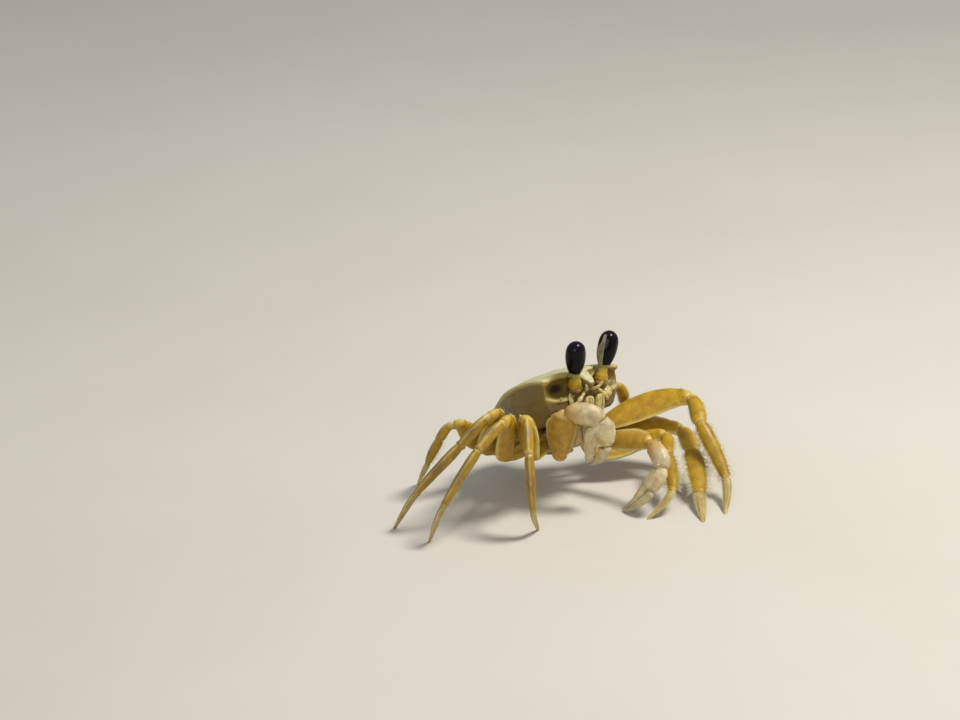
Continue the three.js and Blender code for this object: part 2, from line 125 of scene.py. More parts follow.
# %% Read and write a piece's points
def points(piece):
    co = np.empty(len(piece.data.vertices) * 3)
    piece.data.vertices.foreach_get("co", co)
    return co.reshape(-1, 3)


def move_points(piece, co):
    piece.data.vertices.foreach_set("co", co.ravel())
    piece.data.update()


def point_normals(piece):
    normal = np.empty(len(piece.data.vertices) * 3)
    piece.data.vertices.foreach_get("normal", normal)
    return normal.reshape(-1, 3)


def body_points(piece):
    return to_body(points(piece))


def body_normals(piece):
    return point_normals(piece) @ turn_rows


def move_body_points(piece, body):
    move_points(piece, np.array([from_body(*spot) for spot in body]))


def push_out(piece, push):
    """Move each point along its normal by its own millimetres."""
    move_points(piece, points(piece) + point_normals(piece) * (push * MM)[:, None])


def uneven(co, grain):
    """A smooth random value at each point, with lumps about `grain` across."""
    return np.array([noise.noise(Vector(spot) / grain) for spot in co])


def unit(values):
    return np.clip(values, 0, 1)


def bump_at(values, centre, width):
    """1 at the centre, falling away smoothly on both sides."""
    return np.exp(-((values - centre) / width) ** 2)


def mark(piece, name, values):
    layer = piece.data.attributes.get(name) or piece.data.attributes.new(name, "FLOAT", "POINT")
    layer.data.foreach_set("value", np.broadcast_to(values, len(piece.data.vertices)).astype(np.float32))


def closeness(co, line, reach):
    """1 on a line of points, falling smoothly to 0 at `reach` from it."""
    line = np.array(line)
    starts, steps = line[:-1], np.diff(line, axis=0)
    best = np.full(len(co), np.inf)
    for start, step in zip(starts, steps):
        share = unit((co - start) @ step / max(step @ step, 1e-12))
        best = np.minimum(best, np.linalg.norm(co - start - share[:, None] * step, axis=1))
    near = unit(1 - best / reach)
    return near * near * (3 - 2 * near)


# %% [markdown]
# Every plate starts as a copy of its solid. The copy is loose triangles, so its doubles are merged and
# the triangles are paired back into quads. Then a subdivision surface rounds the flats away, and as it
# also draws the plate in, the plate is stretched back to its length, depth and thickness. Where a solid
# was cut by its neighbour the quads are irregular, and a voxel remesh gives an even skin instead.

# %% Take a plate from its solid
def take(node, name):
    piece = bpy.data.objects.new(name, nodes[node].data.copy())
    bpy.context.scene.collection.objects.link(piece)
    piece.data.materials.clear()
    alone(piece)
    bpy.ops.mesh.customdata_custom_splitnormals_clear()
    bpy.ops.object.mode_set(mode="EDIT")
    bpy.ops.mesh.select_all(action="SELECT")
    bpy.ops.mesh.remove_doubles(threshold=0.003 * MM)
    bpy.ops.mesh.tris_convert_to_quads()
    bpy.ops.object.mode_set(mode="OBJECT")
    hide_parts(node)
    return piece


def rounded(node, name, levels):
    piece = take(node, name)
    before = points(piece)
    spread = before - before.mean(0)
    own_axes = np.linalg.eigh(spread.T @ spread)[1]
    modify(piece, "SUBSURF", levels=levels, render_levels=levels)
    was, now = before @ own_axes, points(piece) @ own_axes
    share = (now - now.min(0)) / np.ptp(now, axis=0)
    move_points(piece, (was.min(0) + share * np.ptp(was, axis=0)) @ own_axes.T)
    return piece


def remeshed(node, name, grain, passes):
    piece = take(node, name)
    modify(piece, "REMESH", mode="VOXEL", voxel_size=grain * MM)
    modify(piece, "SMOOTH", factor=0.5, iterations=passes)
    return piece


# %% [markdown]
# Grains, teeth and bristles repeat by the hundred. Each is modelled once, with a few dozen faces, and
# its copies are written into one joined mesh. A copy is told where its root is, which way it stands,
# how wide and long it is, and how far its end bends over.

# %% Models for what repeats
def model_bead():
    bpy.ops.object.select_all(action="DESELECT")
    bpy.ops.mesh.primitive_ico_sphere_add(subdivisions=1, radius=1)
    return bpy.context.object


def model_spike(sides, rows):
    """A cone of unit height and width, with rows enough to bend."""
    bpy.ops.object.select_all(action="DESELECT")
    bpy.ops.mesh.primitive_circle_add(vertices=sides, radius=1, fill_type="NGON")
    spike = bpy.context.object
    bpy.ops.object.mode_set(mode="EDIT")
    for row in range(1, rows + 1):
        before = 1 - (row - 1) / rows * 0.9
        after = 1 - row / rows * 0.9
        bpy.ops.mesh.extrude_region_move(TRANSFORM_OT_translate={"value": (0, 0, 1 / rows)})
        bpy.ops.transform.resize(value=(after / before, after / before, 1))
    bpy.ops.mesh.select_all(action="SELECT")
    bpy.ops.mesh.normals_make_consistent(inside=False)
    bpy.ops.object.mode_set(mode="OBJECT")
    return spike


def stamp(model):
    """The model's points and faces, and the model itself removed."""
    shape = points(model)
    faces = [list(face.vertices) for face in model.data.polygons]
    bpy.data.objects.remove(model)
    return shape, faces


BEAD = stamp(model_bead())
TOOTH = stamp(model_spike(5, 2))
BRISTLE = stamp(model_spike(3, 3))
print("faces in a bead, a tooth and a bristle:", len(BEAD[1]), len(TOOTH[1]), len(BRISTLE[1]))


# %% Write many copies into one mesh
def upright_axes(way):
    way = np.array(way, float)
    way /= np.linalg.norm(way)
    helper = np.array((0.0, 0.0, 1.0)) if abs(way[2]) < 0.9 else np.array((1.0, 0.0, 0.0))
    side = np.cross(helper, way)
    side /= np.linalg.norm(side)
    return side, np.cross(way, side), way


def copies(name, model, places):
    """One joined mesh. A place holds a root, a way, a width, a length and a bend towards a second way."""
    shape, faces = model
    rows, all_faces = [], []
    for number, (root, way, width, length, bend) in enumerate(places):
        side, other, way = upright_axes(way)
        height = shape[:, 2:3]
        body = shape[:, :1] * side * width + shape[:, 1:2] * other * width + height * way * length
        rows.append(np.array(root) + body + height ** 2 * np.array(bend))
        all_faces.extend([corner + number * len(shape) for corner in face] for face in faces)
    mesh = bpy.data.meshes.new(name)
    mesh.from_pydata(np.concatenate(rows).tolist(), [], all_faces)
    piece = bpy.data.objects.new(name, mesh)
    bpy.context.scene.collection.objects.link(piece)
    return piece


NO_BEND = (0, 0, 0)


def lone_tooth(name, root, way, width, length):
    return copies(name, TOOTH, [(root, way, width * MM, length * MM, NO_BEND)])


def beads_along(name, line, normals, radius, spread=0.25):
    """Grains set side by side along a line, each a little larger or smaller than the next."""
    line, normals = np.array(line), np.array(normals)
    steps = np.linalg.norm(np.diff(line, axis=0), axis=1)
    walked = np.concatenate([[0], np.cumsum(steps)])
    places = []
    here = 0.0
    while here < walked[-1]:
        size = radius * (1 + spread * (chance.random() * 2 - 1))
        root = [np.interp(here, walked, line[:, k]) for k in range(3)]
        way = [np.interp(here, walked, normals[:, k]) for k in range(3)]
        places.append((root, way, size, size * 0.9, NO_BEND))
        here += size * 1.7
    return copies(name, BEAD, places)


# %% [markdown]
# ## Where a plate begins and ends
# Leg plates are long, so their ridges, bristles and colours follow their length. The middle of each
# joint is found from the two rings that face each other across it. Between two joints, a plate has a
# length, a deep way and a flat way, and a table of how far its sides stand from the middle line.

# %% Find the joints and measure a plate
def joint_middle(first, second):
    one, two = points(nodes[first]), points(nodes[second])
    apart = np.linalg.norm(one[:, None] - two[None], axis=2)
    reach = apart.min() + 0.55 * MM
    near_ends = (one[apart.min(1) < reach], two[apart.min(0) < reach])
    ends = [np.unique(near.round(6), axis=0).mean(0) for near in near_ends]
    return (ends[0] + ends[1]) / 2


def farthest(node, origin):
    co = points(nodes[node])
    away = np.linalg.norm(co - origin, axis=1)
    return co[away > away.max() - 0.25 * MM].mean(0)


class Plate:
    """The middle line, deep way and flat way of a long plate."""

    def __init__(self, piece, start, end, rows=26):
        co = points(piece)
        self.piece, self.start, self.axis = piece, start, end - start
        self.length = np.linalg.norm(self.axis)
        along = (co - start) @ self.axis / self.length ** 2
        rest = co - start - along[:, None] * self.axis
        spread = rest - rest.mean(0)
        self.deep = np.linalg.eigh(spread.T @ spread)[1][:, 2]
        if self.deep[2] < 0:
            self.deep = -self.deep
        self.flat = np.cross(self.axis / self.length, self.deep)
        self.rows = np.linspace(0, 1, rows)
        table = []
        for row in self.rows:
            near = np.abs(along - row) < max(1.2 / rows, np.abs(along - row).min() + 0.02)
            deep, flat = rest[near] @ self.deep, rest[near] @ self.flat
            table.append((deep.max() + deep.min(), np.ptp(deep), flat.max() + flat.min(), np.ptp(flat)))
        self.table = np.array(table) / 2
        self.tree = BVHTree.FromPolygons(co.tolist(), [list(face.vertices) for face in piece.data.polygons])

    def size(self, part):
        return [np.interp(part, self.rows, self.table[:, k]) for k in range(4)]

    def shares(self, co):
        """Along (0 to 1), across the depth (-1 to 1) and across the flat (-1 to 1) for each point."""
        along = (co - self.start) @ self.axis / self.length ** 2
        rest = co - self.start - along[:, None] * self.axis
        mid_deep, half_deep, mid_flat, half_flat = self.size(along)
        return along, (rest @ self.deep - mid_deep) / half_deep, (rest @ self.flat - mid_flat) / half_flat

    def spot(self, part, angle):
        """A place on the surface, from the part of the way and the angle round from the upper keel."""
        mid_deep, half_deep, mid_flat, half_flat = self.size(part)
        deep, flat = math.cos(angle), math.sin(angle)
        place = self.start + self.axis * part + self.deep * (mid_deep + deep * half_deep)
        place = place + self.flat * (mid_flat + flat * half_flat)
        way = self.deep * deep / half_deep + self.flat * flat / half_flat
        way /= np.linalg.norm(way)
        on_surface = self.tree.find_nearest(Vector(place))[0]
        return np.array(on_surface if on_surface else place), way


LEGS = [f"leg{pair}" for pair in (2, 3, 4, 5)]
SEGMENTS = ("hip", "merus", "carpus", "propodus", "dactyl")


def leg_ends(leg, hand):
    """The joints of a leg, from its root to the tip of its toe."""
    names = [f"{leg}_{segment}_{hand}" for segment in SEGMENTS]
    inner = [joint_middle(a, b) for a, b in zip(names, names[1:])]
    return [farthest(names[0], inner[0]), *inner, farthest(names[-1], inner[-1])]


print("leg2_r joints (mm):", [[round(float(v) / MM, 1) for v in joint] for joint in leg_ends("leg2", "r")])

# %% [markdown]
# ## The shell
# The carapace is a deep box. Its back is smooth and gently domed, with faint grooves between the
# organs underneath, and a sharp grained ridge runs down each side from the outer tooth of the eye
# socket. A voxel remesh of the solid gives an even skin, and the ridges and grooves are then pushed out
# of it or into it, point by point, because they are too shallow and too curved to extrude.

# %% Round the shell and find its side ridges
shell = remeshed("carapace", "shell_plate", grain=0.22, passes=9)


def side_ridge(hand):
    """The line along which the shell is widest, from front to back."""
    body = body_points(shell)
    line = []
    for y in np.linspace(-11.2, 13.5, 40):
        near = np.abs(body[:, 1] - y) < 0.25
        slice_points = body[near]
        reach = hand * slice_points[:, 0] + 0.12 * slice_points[:, 2]
        line.append(slice_points[reach.argmax()])
    line = np.array(line)
    for _ in range(3):
        line[1:-1] = (line[:-2] + 2 * line[1:-1] + line[2:]) / 4
    return line


ridge_lines = {hand: side_ridge(hand) for hand in (1, -1)}
print("side ridge starts (body mm):", ridge_lines[1][0].round(1))

# %% [markdown]
# The eye sockets are long troughs that the stalks fold down into. The edge of each is found by looking
# straight at the face from in front, just outside the hollow, all the way round.

# %% Find the rims of the eye sockets
SOCKET = {"x": 7.8, "z": 3.1, "across": 5.4, "high": 2.75}


def surface_of(piece):
    faces = [list(face.vertices) for face in piece.data.polygons]
    return BVHTree.FromPolygons(points(piece).tolist(), faces)


shell_surface = surface_of(shell)
backwards = body_turn @ Vector((0, 1, 0))


def onto_face(x, z):
    """The place on the face behind a point in front of it, in the body's millimetres."""
    hit = shell_surface.ray_cast(from_body(x, -30, z), backwards)[0]
    return to_body(np.array(hit))


def socket_rim(hand):
    line = []
    for turn in np.radians(np.arange(-10, 335, 6)):
        x = hand * (SOCKET["x"] + SOCKET["across"] * 1.07 * math.cos(turn))
        z = SOCKET["z"] - SOCKET["high"] * 1.16 * math.sin(turn)
        if abs(x) < 12.6:
            line.append(onto_face(x, z))
    line = np.array(line)
    line[:, 1] = np.minimum(line[:, 1], -10.6)
    return line


rim_lines = {hand: socket_rim(hand) for hand in (1, -1)}
print("socket rim points:", len(rim_lines[1]))

# %% Smooth the edges of the sockets
def smooth_part(piece, chosen, passes):
    piece.vertex_groups.new(name="chosen").add(np.flatnonzero(chosen).tolist(), 1.0, "REPLACE")
    modify(piece, "SMOOTH", factor=0.5, iterations=passes, vertex_group="chosen")
    piece.vertex_groups.clear()


body = body_points(shell)
edge = np.maximum(*(closeness(body, rim_lines[hand], 1.6) for hand in (1, -1)))
smooth_part(shell, edge > 0.1, 16)
print("socket edge points smoothed:", (edge > 0.1).sum())

# %% Raise the ridges, sink the grooves and hollow the sockets
GROOVES = [
    [(2.3, -7.5), (3.4, -3.5), (3.3, 0.5), (2.1, 3.2), (2.6, 6.5), (2.0, 10.5)],
    [(2.1, 3.2), (0, 3.8), (-2.1, 3.2)],
    [(3.4, -3.0), (6.6, -4.0), (9.6, -3.0)],
    [(3.3, 1.4), (6.2, 2.4), (8.8, 5.4)],
]
body = body_points(shell)
normal = body_normals(shell)
upward = unit((normal[:, 2] - 0.35) / 0.4)
lift = np.zeros(len(body))
for hand in (1, -1):
    lift += 0.3 * closeness(body, ridge_lines[hand], 0.75)
    lift += 0.26 * closeness(body, rim_lines[hand], 0.6)
flat_body = body * (1, 1, 0)
for groove in GROOVES:
    for hand in (1, -1):
        line = [(hand * x, y, 0) for x, y in groove]
        lift -= 0.15 * upward * closeness(flat_body, line, 1.5)
lift += 0.22 * upward * bump_at(np.abs(body[:, 0]), 7.2, 3.4) * bump_at(body[:, 1], 4.5, 5.5)
lift += 0.18 * upward * bump_at(body[:, 0], 0, 2.6) * bump_at(body[:, 1], -2.5, 4.0)
lift += 0.03 * uneven(body, 1 / 0.9)
push_out(shell, lift)
print("largest lift and sink (mm):", lift.max().round(2), lift.min().round(2))

# %% Round the snout
SNOUT = {"top": (-10.0, 6.7), "length": 6.4, "half_width": 1.9, "bulge": 0.75}
DOWN_SNOUT, OUT_OF_SNOUT = (-0.7071, -0.7071), (-0.7071, 0.7071)  # as shares of y and z
body = body_points(shell)
from_top = body[:, 1:] - SNOUT["top"]
down = from_top @ DOWN_SNOUT / SNOUT["length"]
out = from_top @ OUT_OF_SNOUT
snout = (np.abs(body[:, 0]) < 2.7) & (down > 0.25) & (out > -1.6)
narrow = np.sqrt(1 - 0.8 * unit((down - 0.55) / 0.5) ** 2)
bulge = SNOUT["bulge"] * np.sqrt(unit(1 - (body[:, 0] / SNOUT["half_width"]) ** 2))
bulge *= unit((down - 0.25) / 0.3) * narrow * (out > -0.2) * snout
body[:, 0] *= np.where(snout, narrow, 1)
body[:, 1:] += np.outer(bulge, OUT_OF_SNOUT)
move_body_points(shell, body)
smooth_part(shell, snout, 20)
print("snout points rounded:", snout.sum())

# %% Mark the shell for its colours
body = body_points(shell)
normal = body_normals(shell)
# The back mark parts the pale back from the sides, whose colour carries painted shade.
mark(shell, "back", unit((normal[:, 2] - 0.15) / 0.5))
mark(shell, "ridge", np.maximum(*(closeness(body, ridge_lines[hand], 1.0) for hand in (1, -1))))
mark(shell, "rim", np.maximum(*(closeness(body, rim_lines[hand], 0.95) for hand in (1, -1))))
across = (np.abs(body[:, 0]) - SOCKET["x"]) / SOCKET["across"]
high = (body[:, 2] - SOCKET["z"]) / SOCKET["high"]
inside = unit(1.15 - np.sqrt(across ** 2 + high ** 2))
mark(shell, "pit", inside * unit((body[:, 1] + 12.6) / 1.6) * unit(-(body[:, 1] + 5) / 1.5))
# Where painted shade darkens the face below the socket rims.
painted_shade_below_rim = unit((0.4 - body[:, 2]) / 0.8) * unit((-10.4 - body[:, 1]) / 0.8)
mark(shell, "painted_shade_below_rim", painted_shade_below_rim)
mark(shell, "height", unit((body[:, 2] + 7) / 14))
# This mark also carries the painted shade that darkens the back towards the tail.
mark(shell, "tailward", unit((body[:, 1] + 12) / 28))
print("points inside the sockets:", (inside > 0).sum())

# %% [markdown]
# The ridge and the socket rims are rows of fine grains. They are beads set side by side, half sunk in
# the shell. Lone grains are scattered over the front corners of the back, as on the real shell, where
# they give way to a smooth middle.

# %% Set grains on the shell
shell_surface = surface_of(shell)


def outward_at(surface, place):
    spot, way, _, _ = surface.find_nearest(Vector(place))
    return np.array(spot), np.array(way)


def grains_on_line(name, body_line, radius):
    spots = [outward_at(shell_surface, from_body(*point)) for point in body_line]
    return beads_along(name, [spot for spot, _ in spots], [way for _, way in spots], radius * MM)


shell_grains = []
for hand, side in SIDES:
    shell_grains.append(grains_on_line(f"ridge_grains_{side}", ridge_lines[hand], 0.15))
    shell_grains.append(grains_on_line(f"rim_grains_{side}", rim_lines[hand], 0.13))
body = body_points(shell)
upward = unit((normal[:, 2] - 0.35) / 0.4)
weight = upward * unit((np.abs(body[:, 0]) - 4.5) / 6) * unit((2 - body[:, 1]) / 12)
weight *= body[:, 2] > 4
picked = chance.choice(len(body), 900, replace=False, p=weight / weight.sum())
spots, ways = points(shell)[picked], point_normals(shell)[picked]
sizes = 0.055 + 0.05 * chance.random(len(picked))
places = [(spot, way, size * MM, size * 0.8 * MM, NO_BEND) for spot, way, size in zip(spots, ways, sizes)]
shell_grains.append(copies("back_grains", BEAD, places))
for grains in shell_grains:
    body = body_points(grains)
    mark(grains, "back", 1.0)
    mark(grains, "ridge", 1.0 if grains.name.startswith("ridge") else 0.0)
    mark(grains, "rim", 1.0 if grains.name.startswith("rim") else 0.0)
    mark(grains, "pit", 0.0)
    mark(grains, "height", unit((body[:, 2] + 7) / 14))
    mark(grains, "tailward", unit((body[:, 1] + 12) / 28))
join(shell, *shell_grains)
print("shell faces with its grains:", len(shell.data.polygons))

# %% [markdown]
# ## The eyes
# Each eye is a stout stalk with a tall cornea wrapped round it. The cornea covers the front, the
# outside and the tip. A narrow pale band of the stalk stays bare up its inner side, and behind the band
# the cornea reaches down only half way. The bare skin is part of the same smooth form, so it is a marked
# strip of the cornea, pushed out a little, and the material turns from wet black to dull skin across it.

# %% Round the corneas and raise the bare band
def eye_way(side):
    base, top = middle_of(f"eyestalk_{side}"), middle_of(f"cornea_{side}")
    return (top - base).normalized()


corneas, stalks = {}, {}
for hand, side in SIDES:
    cornea = rounded(f"cornea_{side}", f"cornea_ball_{side}", levels=3)
    co = points(cornea)
    way = np.array(eye_way(side))
    inner = np.array(body_turn @ Vector((-hand, -0.25, 0)))
    inner = inner - way * (inner @ way)
    inner /= np.linalg.norm(inner)
    rest = co - co.mean(0)
    height = rest @ way
    height = (height - height.min()) / np.ptp(height)
    round_out = rest - (rest @ way)[:, None] * way
    facing = (round_out @ inner) / np.maximum(np.linalg.norm(round_out, axis=1), 1e-9)
    rear = np.cross(inner, way) * hand
    angle = np.degrees(np.arctan2(round_out @ rear, round_out @ inner))
    half_width = 17 - 8 * height
    band = unit((half_width - np.abs(angle)) / 8 + 0.5) * unit((0.9 - height) / 0.06)
    behind = unit((angle + half_width) / 8 + 0.5) * unit((120 - angle) / 10)
    bare_height = 0.34 + 0.42 * np.exp(-np.clip(angle, 0, 180) / 50)
    band = np.maximum(band, behind * unit((bare_height - height) / 0.08))
    band = np.maximum(band, unit((0.1 - height - 0.04 * facing) / 0.04))
    push_out(cornea, band * 0.07)
    mark(cornea, "band", band)
    mark(cornea, "height", height)
    corneas[side] = cornea
print("cornea faces:", len(corneas["l"].data.polygons))

# %% Round the stalks and fold their skin
for hand, side in SIDES:
    stalk = rounded(f"eyestalk_{side}", f"eyestalk_skin_{side}", levels=3)
    co = points(stalk)
    way = np.array(eye_way(side))
    height = (co - co.mean(0)) @ way
    height = (height - height.min()) / np.ptp(height)
    axis_points = co.mean(0) + np.outer((co - co.mean(0)) @ way, way)
    taper = 1 - 0.3 * unit((height - 0.45) / 0.5) ** 1.5
    co = axis_points + (co - axis_points) * taper[:, None]
    folds = 0.05 * np.sin(height * 26) * bump_at(height, 0.35, 0.22)
    wobble = 0.05 * uneven(co, 1.3 * MM)
    move_points(stalk, co + point_normals(stalk) * ((folds + wobble) * MM)[:, None])
    mark(stalk, "height", height)
    stalks[side] = stalk
print("stalk faces:", len(stalks["l"].data.polygons))


# %% [markdown]
# Soft skin closes each stalk into its socket, and a pale neck closes the cornea onto the stalk. Both
# are rounded lumps. A sphere is added, stretched and turned into place, and its place is then applied,
# so that the piece's own object stays at the origin.

# %% Add rounded lumps of skin
def lump(name, place, way, across, along, rings=12):
    """A stretched sphere round `place`, with its length along `way`."""
    bpy.ops.object.select_all(action="DESELECT")
    turn = Vector(way).to_track_quat("Z", "Y").to_euler()
    rounds = {"segments": 2 * rings, "ring_count": rings}
    bpy.ops.mesh.primitive_uv_sphere_add(radius=1, location=place, rotation=turn, **rounds)
    piece = bpy.context.object
    piece.name = name
    if np.isscalar(across):
        across = (across, across)
    piece.scale = (across[0] * MM, across[1] * MM, along * MM)
    bpy.ops.object.transform_apply(location=True, rotation=True, scale=True)
    return piece


eye_skins = {}
for hand, side in SIDES:
    way = eye_way(side)
    low_points = points(stalks[side])
    height = low_points @ np.array(way)
    foot = Vector(low_points[height < np.quantile(height, 0.1)].mean(0))
    neck = Vector(low_points[height > np.quantile(height, 0.93)].mean(0))
    cuff = lump(f"eye_cuff_{side}", foot + way * 0.1 * MM, way, 1.95, 1.2)
    ring = lump(f"eye_neck_{side}", neck + way * 0.2 * MM, way, 1.2, 0.8)
    mark(ring, "height", 1.0)
    join(stalks[side], ring)
    push_out(cuff, 0.12 * uneven(points(cuff), 1.0 * MM))
    eye_skins[side] = cuff
print("skin round the stalks:", [cuff.name for cuff in eye_skins.values()])

# %% [markdown]
# ## The mouth and the edges round it
# Two broad plates close the mouth like doors, and two soft furrows run down the face of each. They are
# sunk into the rounded plate as bands that fade at both ends, since a real furrow has no hard edge. A
# jointed palp and a small bent feeler are folded above the doors. A grained lobe stands under each eye
# socket, and a pale raised edge runs from it down beside the mouth.

# %% Furrow the mouth plates
MOUTH_SIZE, MOUTH_SHIFT = (0.84, 1, 1), (0, -1.1, -0.2)  # in the body's own directions
mouths = {}
for hand, side in SIDES:
    mouth = rounded(f"mouth_plate_{side}", f"mouth_door_{side}", levels=4)
    body = body_points(mouth)
    across = hand * body[:, 0] - 2.2
    down = unit((0.6 - body[:, 2]) / 6.8)
    front = unit(-body_normals(mouth)[:, 1])
    middle = unit(np.sin((0.04 + 0.92 * down) * math.pi)) ** 0.5
    push = -0.34 * bump_at(across + 0.3 * down, 0.6, 0.34) * middle
    push -= 0.2 * bump_at(across, -0.7, 0.26) * middle
    push += 0.1 * bump_at(across, -1.3, 0.3)
    push += 0.05 * uneven(body, 1 / 1.6)
    push_out(mouth, push * front)
    move_body_points(mouth, body_points(mouth) * MOUTH_SIZE + MOUTH_SHIFT)
    mark(mouth, "height", 1 - down)
    mark(mouth, "groove", unit(-push * front / 0.4))
    mouths[side] = mouth
print("mouth door faces:", len(mouth.data.polygons))


# %% Lay the palps, the lobes and the edges beside the mouth
def row_of_lumps(name, hand, line, radii):
    """Lumps from point to point of a bent line on one side, each as long as its own stretch."""
    parts = []
    spots = [from_body(hand * x, y, z) for x, y, z in line]
    for number, (one, two) in enumerate(zip(spots, spots[1:])):
        reach = 0.6 * (two - one).length / MM
        parts.append(lump(f"{name}_{number}", (one + two) / 2, two - one, radii[number], reach, rings=8))
    whole = join(parts[0], *parts[1:])
    whole.name = name
    return whole


PALP_LINE = [(2.7, -15.2, -0.2), (1.9, -15.5, 0.0), (1.0, -15.4, -0.8)]
SMALL_FEELER_LINE = [(0.5, -13.0, 1.9), (1.2, -13.6, 2.1), (1.7, -13.7, 1.4)]
MOUTH_EDGE_LINE = [(6.2, -13.0, -1.9), (4.9, -13.9, -0.8), (3.6, -14.3, 0.4), (2.4, -14.0, 1.4)]
CHEEKS = {"l": (6.6, 1.95, 1.5), "r": (5.3, 0.8, 0.35)}  # place across, half width and depth
face_parts = []
for hand, side in SIDES:
    palp = row_of_lumps(f"palp_{side}", hand, PALP_LINE, [0.34, 0.28])
    small_feeler = row_of_lumps(f"small_feeler_{side}", hand, SMALL_FEELER_LINE, [0.32, 0.24])
    lobe_x, lobe_size, lobe_depth = CHEEKS[side]
    lobe_place = from_body(hand * lobe_x, -12.0, 0.0)
    lobe = lump(f"cheek_{side}", lobe_place, backwards, (lobe_size, 1.7), lobe_depth, rings=16)
    edge = row_of_lumps(f"mouth_edge_{side}", hand, MOUTH_EDGE_LINE, [0.5, 0.6, 0.45])
    tooth_root = from_body(hand * 8.9, -12.1, 0.2)
    tooth_way = body_turn @ Vector((0.1 * hand, -0.35, 1))
    tooth = lone_tooth(f"socket_tooth_{side}", tooth_root, tooth_way, 0.34, 1.2)
    surface = surface_of(lobe)
    spots = chance.uniform(-1, 1, (100, 2)) * (lobe_size, 1.65)
    spots = [from_body(hand * lobe_x + across, -14.6, high) for across, high in spots]
    hits = [surface.ray_cast(spot, backwards) for spot in spots]
    places = [(hit[0], hit[1], 0.16 * MM, 0.14 * MM, NO_BEND) for hit in hits if hit[0]]
    grains = copies(f"cheek_grains_{side}", BEAD, places)
    cheek = join(lobe, edge, tooth, grains)
    for piece in (cheek, palp, small_feeler):
        modify(piece, "SMOOTH", factor=0.3, iterations=1)
        face_parts.append(piece)
print("pieces round the mouth:", [piece.name for piece in face_parts])

# %% Ring the long feelers
feelers = {}
for side in "lr":
    feeler = rounded(f"feeler_{side}", f"feeler_rings_{side}", levels=3)
    co = points(feeler)
    low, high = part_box(f"feeler_{side}")
    height = (co[:, 2] - low.z) / (high.z - low.z)
    push_out(feeler, 0.04 * np.sin(height * 40))
    feelers[side] = feeler
print("feeler faces:", len(feelers["l"].data.polygons))

# %% [markdown]
# ## The underside
# The chest plate shows the seams between the segments that carry the legs, and the narrow tail, folded
# forward beneath it, shows that of a male. Both sets of seams are sunk as soft furrows at even steps.

# %% Furrow the chest and the tail
chest = remeshed("chest", "chest_plate", grain=0.25, passes=6)
body = body_points(chest)
furrow = np.zeros(len(body))
for y in (-5.5, -1.2, 3.2, 7.6, 11.4):
    furrow = np.maximum(furrow, bump_at(body[:, 1] - 0.12 * np.abs(body[:, 0]), y, 0.32))
furrow = np.maximum(furrow, 0.8 * bump_at(body[:, 0], 0, 0.35))
push_out(chest, -0.28 * furrow)
mark(chest, "groove", furrow)

tail = rounded("tail", "tail_plate", levels=4)
body = body_points(tail)
chest_surface, tail_surface = surface_of(chest), surface_of(tail)
downwards = body_turn @ Vector((0, 0, -1))
rows, gaps = np.arange(-12, 10, 0.5), []
for y in rows:
    under_chest = chest_surface.ray_cast(from_body(0, y, -30), -downwards)[0]
    over_tail = tail_surface.ray_cast(from_body(0, y, -8), downwards)[0]
    if under_chest and over_tail:
        gaps.append((y, to_body(np.array(under_chest))[2] - to_body(np.array(over_tail))[2]))
gaps = np.array(gaps)
rise = np.maximum(np.interp(body[:, 1], gaps[:, 0], gaps[:, 1]) - 0.1, 0) * (body[:, 2] < -10)
move_body_points(tail, body + np.outer(rise, (0, 0, 1)))
print("widest gap above the tail (mm):", gaps[:, 1].max().round(2), "at", gaps[gaps[:, 1].argmax(), 0])
along = np.where(body[:, 2] > -13.4, body[:, 2] + 13.4, 0) + (16 - body[:, 1])
furrow = np.zeros(len(body))
for step in (3.0, 6.0, 9.2, 12.4, 15.4, 18.2):
    furrow = np.maximum(furrow, bump_at(along, step, 0.25))
push_out(tail, -0.16 * furrow)
mark(tail, "groove", furrow)
print("chest and tail faces:", len(chest.data.polygons), len(tail.data.polygons))

# %% [markdown]
# ## The walking legs
# A leg is five plates. The upper one is a flat leaf with a keel above and below, which thins towards
# both keels. The lower ones are narrow and rounded. Near each joint a plate swells into a collar. All
# of this is pressed into the rounded copy from the table of its widths, so one rule shapes forty plates.

# %% Press the keels, collars and wrinkles into a plate
LEVELS = {"hip": 2, "merus": 4, "carpus": 3, "propodus": 3, "dactyl": 3}
THINNING = {"hip": 0.1, "merus": 0.42, "carpus": 0.2, "propodus": 0.25, "dactyl": 0.15}


